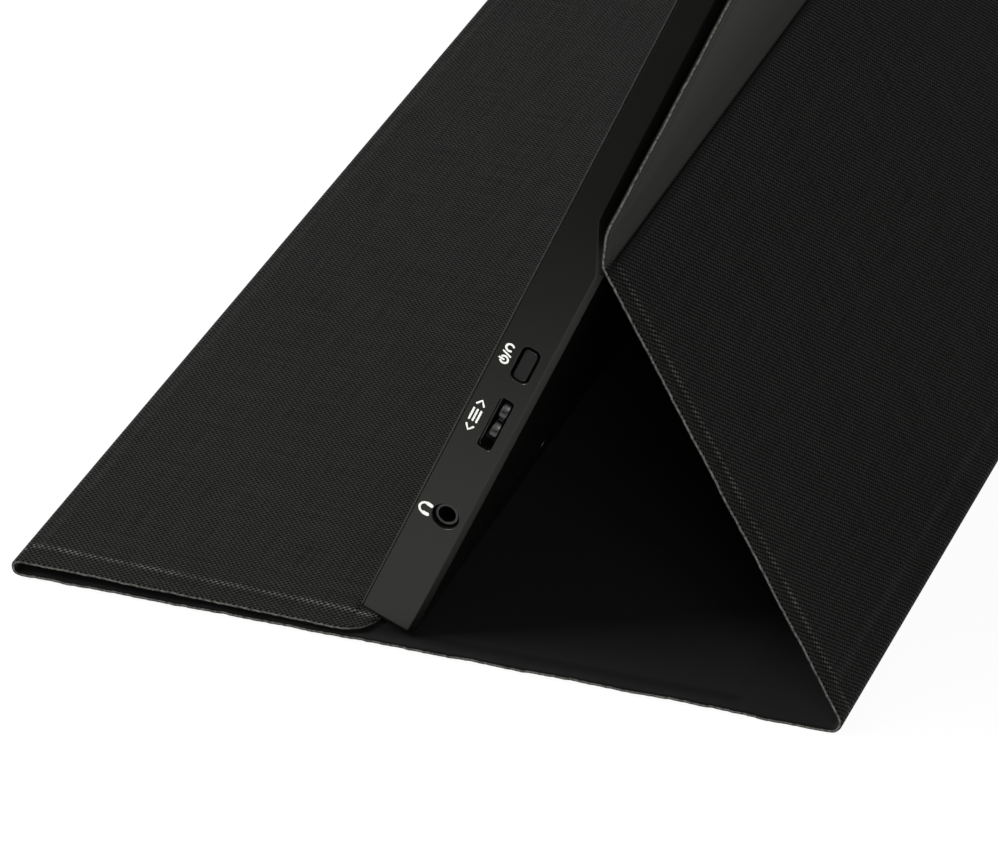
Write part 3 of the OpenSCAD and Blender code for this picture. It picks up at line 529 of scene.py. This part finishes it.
def columnsAcross():
    near = np.array([0, .05, .14, .28, .42, .8, 1.5, 2.4, 3.3, 4.0, 4.3, 4.6, 4.85, 5.1, 5.3,
                     5.5, 5.75, 6.0, 6.25, 6.5, 6.75, 7.1, 8, 10, 14, 20])
    middle = np.linspace(20, 2 * clothHalf - 20, 28)[1:-1]
    return np.concatenate([near, middle, (2 * clothHalf - near)[::-1]]) - clothHalf


def closedSheet(name, outer, inner, uv, surfaces, paleEnds, sides):
    # outer and inner are grids of points; walls join them round the rim
    rows, cols = outer.shape[:2]
    index = np.arange(rows * cols).reshape(rows, cols)
    deep = index + rows * cols
    top = np.stack([index[:-1, :-1], index[:-1, 1:], index[1:, 1:], index[1:, :-1]], -1)
    low = np.stack([deep[:-1, :-1], deep[1:, :-1], deep[1:, 1:], deep[:-1, 1:]], -1)
    top, low = top.reshape(-1, 4), low.reshape(-1, 4)
    walls, kinds = [], []
    for line, under, pale in ((index[:, 0], deep[:, 0], True), (index[:, -1], deep[:, -1], True),
                              (index[0], deep[0], paleEnds[0]), (index[-1], deep[-1], paleEnds[1])):
        walls.append(np.stack([line[:-1], line[1:], under[1:], under[:-1]], -1))
        kinds.append(np.full(len(line) - 1, surfaces.index("cut") if pale else 0))
    faces = np.concatenate([top, low] + walls)
    kinds = np.concatenate([np.full(len(top), sides[0]), np.full(len(low), sides[1])] + kinds)
    points = np.concatenate([outer.reshape(-1, 3), inner.reshape(-1, 3)])
    return newPiece(name, toFrame(points), faces, np.concatenate([uv, uv]), kinds, surfaces, 40)


def rimmed(edge):  # thickness at a distance from a cut edge, as a share of the full one
    pale = clothCut["pale"] / fabricT
    t = np.clip(edge / clothCut["rim"], 0, 1)
    return pale + (1 - pale) * np.sqrt(1 - (1 - t) ** 2)


def rowsAlong(length, fineEnds):
    near = np.array([0, .3, .7, 1.1, 1.5, 1.9, 2.2, 2.5, 2.8, 3.1, 3.5, 4.0])
    if fineEnds[1] == "free":
        far = np.array([0, .05, .14, .28, .42, .8, 1.5, 2.4, 3.3, 4.0, 4.3, 4.6, 4.85, 5.1, 5.3,
                        5.5, 6])
    else:
        far = near
    if length < near[-1] + far[-1] + 1:
        return np.linspace(0, length, 11)
    middle = np.arange(near[-1] + 0.62, length - far[-1] - 0.3, 0.62)
    return np.concatenate([near, middle, (length - far)[::-1]])


panels = {
    "flap": {
        "start": (foldY + foldR * math.sin(flapTilt), foldZ + foldR * math.cos(flapTilt)),
        "along": (math.cos(flapTilt), -math.sin(flapTilt)),
        "out": (math.sin(flapTilt), math.cos(flapTilt)),
        "length": flapRigid, "ends": (3, 1.2), "flat": (flapL, -1), "ramp": ramps["flap"],
        "outline": (flapL, coverSize["flapCorner"]),
    },
    "base": {
        "start": (foldY, baseMid), "along": (1, 0), "out": (0, -1), "length": baseEnd - foldY,
        "ends": (3, 3), "ramp": ramps["else"],
    },
    "spine": {
        "start": (spineStart, spineMid), "along": (1, 0), "out": (0, -1),
        "length": spineEnd - spineStart, "ends": None,
    },
    "support": {
        "start": elbow - (supportL - 4) * up, "along": up, "out": outward,
        "length": supportL - 5.5, "ends": (3, 1), "ramp": ramps["else"],
    },
    "upper": {
        "start": leanOut(upperDepth, upperLow), "along": (math.cos(lean), math.sin(lean)),
        "out": (math.sin(lean), -math.cos(lean)), "length": upperHigh - upperLow,
        "ends": (2, coverSize["hem"]), "ramp": ramps["else"],
        "outline": (upperHigh - upperLow, coverSize["topCorner"]),
    },
}


def sheetGrid(v, outline):
    x = columnsAcross()
    gridV, gridX = np.meshgrid(v, x, indexing="ij")
    side = clothHalf - np.abs(gridX)
    if outline is None:
        return gridX, gridV, side, np.full_like(side, 1e3)
    end, radius = outline
    ahead = end - gridV
    small, big = np.minimum(side, ahead), np.maximum(side, ahead)
    ring = np.maximum(radius - small, 1e-6)  # rings of the rounded corner, one inside the other
    turn = np.clip((radius - big) / ring, 0, 1) * math.pi / 4
    bent = big < radius
    newBig = np.where(bent, radius - ring * np.sin(turn), big)
    newSmall = np.where(bent, radius - ring * np.cos(turn), small)
    newSide = np.where(side >= ahead, newBig, newSmall)
    newAhead = np.where(side >= ahead, newSmall, newBig)
    return np.sign(gridX) * (clothHalf - newSide), end - newAhead, side, ahead


def liftAt(panel, side, v, ahead, toElbow=False):
    if panel["ends"] is None:
        return np.zeros_like(side)
    low, high = panel["ramp"]
    rise = smooth((side - low) / (high - low))
    first, last = panel["ends"]
    rise = rise * smooth((v - 0.2) / (first - 0.4))
    if toElbow:  # the board's top shows up to the elbow, where the fold takes it over
        return halfBoard * rise
    if last == coverSize["hem"]:
        return halfBoard * rise * smooth((ahead - low) / (high - low))
    if last < 2:
        return halfBoard * rise * smooth((panel["length"] - v - last + 1.1) / 1.1)
    return halfBoard * rise * smooth((panel["length"] - v - 0.2) / (last - 0.4))


def hemCurl(key, side, s, v, length):  # how far the bare hem waves off its panel's plane
    rise = clothCut["curl"].get(key, 0)
    wave = 0.5 + 0.2 * np.sin(2 * math.pi * s / 4.3 + 0.6) * np.sin(s / 11) + 0.3 * np.sin(
        2 * math.pi * s / 19 + np.sin(s / 7))
    return rise * wave * np.exp(-side / 1.8) * smooth(v / 6) * smooth((length - v) / 6)


def panelSheet(name, key, sign, surfaces, rows=None, whole=False):
    # sign is 1 for the fabric side and -1 for the lining side; whole makes both at once
    panel = panels[key]
    outline = panel.get("outline")
    last = rows[-1] if rows is not None else panel["length"]
    free = outline is not None and abs(last - outline[0]) < 1e-6
    v = rows if rows is not None else rowsAlong(panel["length"], (None, "free" if free else None))
    gridX, gridV, side, ahead = sheetGrid(v, outline)
    base, step = panel["flat"]
    s = base + step * gridV
    wave = np.where(gridX > 0, cutWobble(s, 1), cutWobble(s, 2))
    gridX = gridX + np.sign(gridX) * wave * np.exp(-side / 0.8)
    if free:
        gridV = gridV + cutWobble(gridX, 3) * np.exp(-ahead / 0.8)
    edge = np.minimum(side, ahead) if free else side
    lift = liftAt(panel, side, gridV, ahead, key == "support" and sign > 0)
    thick = fabricT * rimmed(edge)
    stand = slackAt(gridX, s) * (lift / halfBoard) if sign > 0 and not whole else 0
    start, along, out = (np.asarray(panel[k], float) for k in ("start", "along", "out"))
    curl = hemCurl(key, side, s, gridV, panel["length"]) if not whole else 0

    def surface(w):
        yz = start + gridV[..., None] * along + (w + curl)[..., None] * out
        return np.concatenate([gridX[..., None], yz], -1)

    uv = np.stack([(gridX + clothHalf) * mm, s * mm], -1).reshape(-1, 2)
    if whole:
        return closedSheet(name, surface(thick), surface(-thick), uv, surfaces, (False, free),
                           (0, 1))
    outer = surface(sign * (lift + thick + stand))
    return closedSheet(name, outer, surface(sign * lift), uv, surfaces, (False, free), (0, 0))


def pathLength(path):
    return np.concatenate([[0], np.cumsum(np.hypot(*np.diff(path, axis=0).T))])


def softened(path, times=2):  # cuts the corners of a path, and keeps its ends
    for _ in range(times):
        a, b = path[:-1], path[1:]
        cut = np.stack([a * 0.75 + b * 0.25, a * 0.25 + b * 0.75], 1).reshape(-1, 2)
        path = np.concatenate([path[:1], cut, path[-1:]])
    return path


def pathSides(path, firstDir, lastDir):
    before, after = np.vstack([path[:1], path[:-1]]), np.vstack([path[1:], path[-1:]])
    run = after - before
    run[0], run[-1] = firstDir, lastDir
    run = run / np.hypot(*run.T)[:, None]
    return np.stack([run[:, 1], -run[:, 0]], 1)


def foldSheet(name, path, s0, firstDir, lastDir, inner=None):
    # a strip of bare laminate along a path in y and z, fabric on the path's right;
    # inner is the path that it takes further in from its cut edges, where the boards reach it
    s = s0 + pathLength(path)
    right = pathSides(path, firstDir, lastDir)
    gridS, gridX = np.meshgrid(s, columnsAcross(), indexing="ij")
    side = clothHalf - np.abs(gridX)
    wave = np.where(gridX > 0, cutWobble(gridS, 1), cutWobble(gridS, 2))
    gridX = gridX + np.sign(gridX) * wave * np.exp(-side / 0.8)
    thick, middle, right = fabricT * rimmed(side), path[:, None, :], right[:, None, :]
    outer = thick
    if inner is not None:
        share = smooth((side - 1.5) / (ramps["else"][1] - 1.5))[..., None]
        middle = middle + share * (inner[:, None, :] - middle)
        right = right + share * (pathSides(inner, firstDir, lastDir)[:, None, :] - right)
        low, high = ramps["else"]
        board = smooth((side - low) / (high - low)) * smooth((1.95 - (gridS - s0)) / 0.65)
        outer = thick + halfBoard * board

    def surface(w):
        yz = middle + w[..., None] * right
        return np.concatenate([gridX[..., None], yz], -1)

    uv = np.stack([(gridX + clothHalf) * mm, gridS * mm], -1).reshape(-1, 2)
    return closedSheet(name, surface(outer), surface(-thick), uv, ["fabric", "lining", "cut"],
                       (False, False), (0, 1))


def arcPath(centre, radius, first, last, steps):
    turn = np.radians(np.linspace(first, last, steps + 1))
    return np.asarray(centre) + radius * np.stack([np.cos(turn), np.sin(turn)], 1)


tiltDeg = math.degrees(flapTilt)
frontPath = arcPath((foldY, foldZ), foldR, 90 - tiltDeg, 270, 32)
creaseT = np.linspace(0, 1, 17)
creasePath = np.stack([baseEnd + coverSize["crease"] * creaseT,
                       baseMid + (spineMid - baseMid) * smooth((creaseT - 1 / 12) / (10 / 12))], 1)
rearArc = arcPath((rearY, rearZ), coverSize["rearRadius"], -90, 90 - standSize["strut"], 22)
supportStart = panels["support"]["start"]
rearPath = np.concatenate([
    [(spineEnd + ahead, spineMid) for ahead in (0, 2, 3.6)], rearArc[1:],
    [rearArc[-1] * (1 - t) + supportStart * t for t in (0.35, 0.7, 1)]])
# elbow: shares of the way to the upper panel, out from the case and up it
elbowEdge = ((1, 0), (0.93, 0.02), (0.825, 0.055), (0.683, 0.122), (0.587, 0.206), (0.483, 0.311),
             (0.302, 0.5), (0.127, 0.689), (0.032, 0.822), (0, 1))
elbowInner = ((1, 0), (0.95, 0.013), (0.9, 0.027), (0.76, 0.122), (0.65, 0.206), (0.52, 0.311),
              (0.33, 0.5), (0.14, 0.689), (0.04, 0.822), (0, 1))


def elbowLine(steps):
    return softened(np.array([elbow - 1.5 * up, elbow - 0.9 * up, elbow - 0.3 * up] + [
        leanOut(upperDepth + a * (elbowDepth - upperDepth),
                elbowHeight + b * (upperLow - 0.6 - elbowHeight))
        for a, b in steps] + [leanOut(upperDepth, upperLow)]))


elbowPath = elbowLine(elbowEdge)
s = flapL
folds = {}
for key, path, firstDir, lastDir, ahead in (
        ("frontFold", frontPath, (-math.cos(flapTilt), math.sin(flapTilt)), (1, 0), "base"),
        ("crease", creasePath, (1, 0), (1, 0), "spine"),
        ("rearFold", rearPath, (1, 0), up, "support"),
        ("elbowFold", elbowPath, up, panels["upper"]["along"], "upper")):
    folds[key] = (path, s, firstDir, lastDir)
    s = s + pathLength(path)[-1]
    panels[ahead]["flat"] = (s, 1)
    s = s + panels[ahead]["length"]
looks["fabric"].node_tree.nodes["pastCrease"].inputs[1].default_value = (
    folds["elbowFold"][1] + 2.2) * mm

# panels
for key, body in (("flap", "flap"), ("base", "base"), ("spine", "spine"), ("support", "support"),
                  ("upper", "monitor")):
    for part, sign in (("skin", 1), ("lining", -1)):
        cloth = "fabric" if sign > 0 else "lining"
        piece = panelSheet(key + part.capitalize(), key, sign, [cloth, "cut"])
        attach(piece, body)
        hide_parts(key + "_" + part)
hemRows = np.concatenate([[flapRigid, flapRigid + 0.3, flapRigid + 0.7], flapL - np.array(
    [3.3, 2.7, 2.1, 1.5, 1.0, .65, .42, .28, .14, .05, 0])])
flapHem = panelSheet("flapHem", "flap", 1, ["fabric", "lining", "cut"], hemRows, True)
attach(flapHem, "flap")
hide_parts("flap_hem")
print("panels laid")

# folds, each a strip of laminate laid along its path between two panels
for key, bodyA, bodyB, node in (("frontFold", "flap", "base", "front_fold_strip"),
                                ("crease", "base", "spine", "crease_strip"),
                                ("rearFold", "spine", "support", "rear_fold_strip"),
                                ("elbowFold", "support", "monitor", "elbow_strip")):
    path = folds[key][0]
    piece = foldSheet(key, *folds[key], elbowLine(elbowInner) if key == "elbowFold" else None)
    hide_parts(node)
    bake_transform(piece)
print("folds laid")


# monitor's moulded and turned parts, taken from the CAD with their edges eased
easedParts = {
    # node: piece, body, surface, ease in millimetres, steps
    "rear_shell": ("rearShell", "monitor", "case", "case_plastic", 0.22, 3),
    "front_bezel": ("frontFrame", "monitor", "bezel", "case_plastic", 0.13, 3),
    "lcd_cell": ("screenGlass", "monitor", "screen", "screen", 0.1, 2),
    "headphone_jack": ("phoneSocket", "monitor", "socket", "socket_plastic", 0.13, 3),
    "power_button": ("powerButton", "power_button", "button", "button_plastic", 0.32, 4),
    "menu_lever": ("menuLever", "menu_lever", "lever", "lever_plastic", 0.45, 4),
    "jog_carriage": ("leverCarriage", "jog_carriage", "switchPlastic", "switch_plastic", 0.08, 2),
    "usb_c_port_upper": ("usbPortUpper", "monitor", "portSteel", "port_steel", 0.08, 2),
    "usb_c_port_lower": ("usbPortLower", "monitor", "portSteel", "port_steel", 0.08, 2),
    "mini_hdmi_port": ("miniVideoPort", "monitor", "portSteel", "port_steel", 0.08, 2),
    "shell_screws": ("caseScrews", "monitor", "screw", "screw_steel", 0.07, 2),
}


def easedPart(node, name, body, surface, slotName, ease, steps, sharpAbove=28):
    mesh = cadNodes[node].data.copy()
    mesh.name = name
    work = bmesh.new()
    work.from_mesh(mesh)
    bmesh.ops.remove_doubles(work, verts=work.verts, dist=2e-6)
    bmesh.ops.dissolve_limit(work, angle_limit=math.radians(0.6), verts=work.verts,
                             edges=work.edges)
    crisp = [e for e in work.edges if len(e.link_faces) == 2
             and e.calc_face_angle(0) > math.radians(sharpAbove)]
    bmesh.ops.bevel(work, geom=crisp, offset=ease * mm, offset_type="OFFSET", segments=steps,
                    profile=0.5, affect="EDGES", clamp_overlap=False)
    bmesh.ops.remove_doubles(work, verts=work.verts, dist=1e-6)
    work.to_mesh(mesh)
    work.free()
    mesh.materials.clear()
    mesh.materials.append(looks[surface])
    for face in mesh.polygons:
        face.material_index, face.use_smooth = 0, True
    mesh.set_sharp_from_angle(angle=math.radians(60))
    piece = bpy.data.objects.new(name, mesh)
    scene.collection.objects.link(piece)
    weighted = piece.modifiers.new("flatFaces", "WEIGHTED_NORMAL")
    weighted.keep_sharp = True
    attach(piece, body)
    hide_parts(node)


for node, row in easedParts.items():
    easedPart(node, *row)

# inside of the headphone socket's bore, painted near black: painted shade
socketMesh = bpy.data.objects["phoneSocket"].data
socketMesh.materials.append(looks["bore"])
bore = {"depth": 6.7, "height": 29.6, "reach": 0.00179, "lip": 0.0011}
boreY, boreZ = onCase(sideX, bore["depth"], bore["height"])[1:]
for face in socketMesh.polygons:
    offAxis = math.hypot(face.center.y - boreY, face.center.z - boreZ)
    if offAxis < bore["reach"] and face.center.x < sideX * mm - bore["lip"]:
        face.material_index = 1
print("monitor's outer parts eased:", len(easedParts))

# white marks beside the controls, printed on the side face: strokes in (height, depth), no letters
marks = {"rise": 0.03, "line": 0.42, "depth": 2.6}


def strokeSides(line, width):
    # both sides of a flat stroke along a line of (h, n) points, with round ends
    line = np.asarray(line, float)
    turn = np.radians([88, 65, 45, 25])
    first, last = line[0] - line[1], line[-1] - line[-2]
    first, last = first / np.hypot(*first), last / np.hypot(*last)
    line = np.concatenate([line[0] + width / 2 * np.sin(turn)[:, None] * first, line,
                           line[-1] + width / 2 * np.sin(turn[::-1])[:, None] * last])
    wide = np.concatenate([np.cos(turn), np.ones(len(line) - 8), np.cos(turn[::-1])]) * width / 2
    run = np.vstack([line[1:], line[-1:]]) - np.vstack([line[:1], line[:-1]])
    run = run / np.hypot(*run.T)[:, None]
    across = np.stack([-run[:, 1], run[:, 0]], 1) * wide[:, None]
    return line + across, line - across


def printedStroke(work, line, width, rise):
    left, right = strokeSides(line, width)
    rings = []
    for a, b in zip(left, right):
        low = [work.verts.new(onCase(sideX - 0.02, p[1], p[0])) for p in (a, b)]
        top = [work.verts.new(onCase(sideX + rise, p[1], p[0])) for p in (b, a)]
        rings.append(low + top)
    for one, two in zip(rings[:-1], rings[1:]):
        for k in range(4):
            work.faces.new((one[k], one[(k + 1) % 4], two[(k + 1) % 4], two[k]))
    work.faces.new(rings[0])
    work.faces.new(rings[-1][::-1])


def arcLine(h, n, radius, first, last, steps=18):
    turn = np.radians(np.linspace(first, last, steps + 1))
    return np.stack([h + radius * np.cos(turn), n - radius * np.sin(turn)], 1)


def printMark(name, strokes):
    mesh = bpy.data.meshes.new(name)
    work = bmesh.new()
    for i, (line, width) in enumerate(strokes):  # each a hair above the last: no shared face
        printedStroke(work, line, width, marks["rise"] + 0.004 * i)
    bmesh.ops.recalc_face_normals(work, faces=work.faces)
    work.to_mesh(mesh)
    work.free()
    mesh.materials.append(looks["ink"])
    piece = bpy.data.objects.new(name, mesh)
    scene.collection.objects.link(piece)
    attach(piece, "monitor")


n0, pen = marks["depth"], marks["line"]
printMark("powerMark", [
    (arcLine(68.3, n0, 0.78, 128, 412, 24), pen),  # broken ring
    ([(68.3, n0 - 0.1), (68.3, n0 - 1.0)], pen),  # its bar
    ([(69.5, n0 + 0.85), (70.05, n0 - 0.85)], pen * 0.85),
    (arcLine(71.3, n0, 0.78, -50, 215, 20), pen),
])
# a three-bar mark between two arrowheads, for what the lever opens and the ways that it rocks
printMark("menuMark", [([(52.5, n0 + k), (55.2, n0 + k)], pen) for k in (-0.75, 0.05, 0.85)] + [
    ([(51.2, n0 - 0.7), (50.1, n0 + 0.05), (51.2, n0 + 0.8)], pen),
    ([(56.5, n0 - 0.7), (57.6, n0 + 0.05), (56.5, n0 + 0.8)], pen),
])
printMark("phonesMark", [
    (arcLine(29.05, n0 - 0.15, 1.2, 0, 180, 18), pen * 1.1),
    ([(27.87, n0 - 0.1), (27.95, n0 + 0.75)], pen * 1.9),
    ([(30.23, n0 - 0.1), (30.15, n0 + 0.75)], pen * 1.9),
])
print("marks printed")

# parts inside, which keep their CAD shape with eased edges
insideLooks = {
    "optical_films": "film", "light_guide": "acrylic", "reflector_sheet": "film", "led_bar": "led",
    "panel_tray": "sheet", "mid_frame": "sheet", "main_board": "board", "timing_board": "board",
    "control_board": "board", "audio_board": "board", "scaler_chip": "chip", "board_parts": "chip",
    "board_connectors": "connector", "display_cable": "connector", "source_film": "amber",
    "power_switch": "switchMetal", "jog_switch": "switchPlastic", "speaker_left": "speaker",
    "speaker_right": "speaker", "board_screws": "screw", "shell_plates": "sheet",
    "upper_board": "greyboard", "upper_magnets": "magnet", "support_board": "greyboard",
    "base_board": "greyboard", "flap_board": "greyboard", "flap_magnets": "magnet",
}
for node, surface in insideLooks.items():
    part = cadNodes[node]
    part.data.materials.clear()
    part.data.materials.append(looks[surface])
    weld = part.modifiers.new("weld", "WELD")
    weld.merge_threshold = 2e-6
    ease = part.modifiers.new("ease", "BEVEL")
    ease.width, ease.segments, ease.limit_method = 0.00005, 2, "ANGLE"
    ease.angle_limit = math.radians(30)
print("inside parts finished:", len(insideLooks))


def seenRays(tree):  # 1 for rays that look, by camera, mirror or glass, and 0 for those that light
    rays = addNode(tree, "ShaderNodeLightPath")
    seen = addNode(tree, "ShaderNodeMath", {"operation": "MAXIMUM"},
                   links={0: rays.outputs["Is Camera Ray"], 1: rays.outputs["Is Glossy Ray"]})
    return addNode(tree, "ShaderNodeMath", {"operation": "MAXIMUM"},
                   links={0: seen.outputs[0], 1: rays.outputs["Is Transmission Ray"]})


# floor, light and sky
stageSet = {"floor": "#f0f0ef", "lift": 0.96, "fill": 0.16}
lamps = {  # place, aim, size and watts
    "keyLamp": ((0.6, -1.3, 1.7), (0, 0, 0.05), 1.2, 80.0),
    "sideLamp": ((1.3, 0.75, 0.75), (0, 0.05, 0.05), 0.6, 7.0),
}
cardReach = ((0.29, 3), (-1.4, 0.35))  # black card's ends in x and y, in metres
floorMesh = bpy.data.meshes.new("floor")
floorMesh.from_pydata([(-6, -6, 0), (6, -6, 0), (6, 6, 0), (-6, 6, 0)], [], [(0, 1, 2, 3)])
floor = bpy.data.objects.new("floor", floorMesh)
floor.location.z = -0.0002
scene.collection.objects.link(floor)
paper = bpy.data.materials.new("paleFloor")  # seamless paper, matt and almost white
paper.use_nodes = True
tree = paper.node_tree
tree.nodes.clear()
output = addNode(tree, "ShaderNodeOutputMaterial")
seen = seenRays(tree)
matt = addNode(tree, "ShaderNodeBsdfDiffuse", values={"Color": linear(stageSet["floor"])})
share = addNode(tree, "ShaderNodeMath", {"operation": "MULTIPLY"}, {1: stageSet["lift"]},
                {0: seen.outputs[0]})  # lift of the seen floor to white; the rest keeps the shadow
white = addNode(tree, "ShaderNodeEmission", values={"Color": (1, 1, 1, 1), "Strength": 1.0})
whole = addNode(tree, "ShaderNodeMixShader", links={0: share.outputs[0], 1: matt.outputs[0],
                                                    2: white.outputs[0]})
tree.links.new(whole.outputs[0], output.inputs["Surface"])
floorMesh.materials.append(paper)

sky = bpy.data.worlds.new("studio")
scene.world = sky
sky.use_nodes = True
tree = sky.node_tree
tree.nodes.clear()
output = addNode(tree, "ShaderNodeOutputWorld")
seen = seenRays(tree)
level = addNode(tree, "ShaderNodeMapRange", values={"To Min": stageSet["fill"], "To Max": 1.0},
                links={"Value": seen.outputs[0]})
glow = addNode(tree, "ShaderNodeBackground", values={"Color": (1, 1, 1, 1)},
               links={"Strength": level.outputs["Result"]})
tree.links.new(glow.outputs[0], output.inputs["Surface"])


def softLamp(name, place, aim, size, power):
    lamp = bpy.data.lights.new(name, "AREA")
    lamp.shape, lamp.size, lamp.energy = "SQUARE", size, power
    lampObject = bpy.data.objects.new(name, lamp)
    scene.collection.objects.link(lampObject)
    lampObject.location = place
    lampObject.rotation_euler = (Vector(aim) - Vector(place)).to_track_quat("-Z", "Y").to_euler()


for name, row in lamps.items():
    softLamp(name, *row)

# a black card on the floor, seen only in the case's gloss, darkens the side face upwards
cardMesh = bpy.data.meshes.new("blackCard")
(x0, x1), (y0, y1) = cardReach
cardMesh.from_pydata([(x0, y0, 0), (x1, y0, 0), (x1, y1, 0), (x0, y1, 0)], [], [(0, 1, 2, 3)])
card = bpy.data.objects.new("blackCard", cardMesh)
card.location.z = 0.002
scene.collection.objects.link(card)
card.visible_camera = card.visible_shadow = card.visible_diffuse = card.visible_transmission = False
cardMesh.materials.append(mottledLook(  # matt black paper
    "blackCard", ("#020202", "#040404"), 20, 1.0, 0.05, (0.9, 1.0), {"Specular IOR Level": 0.0}))
print("stage lit")
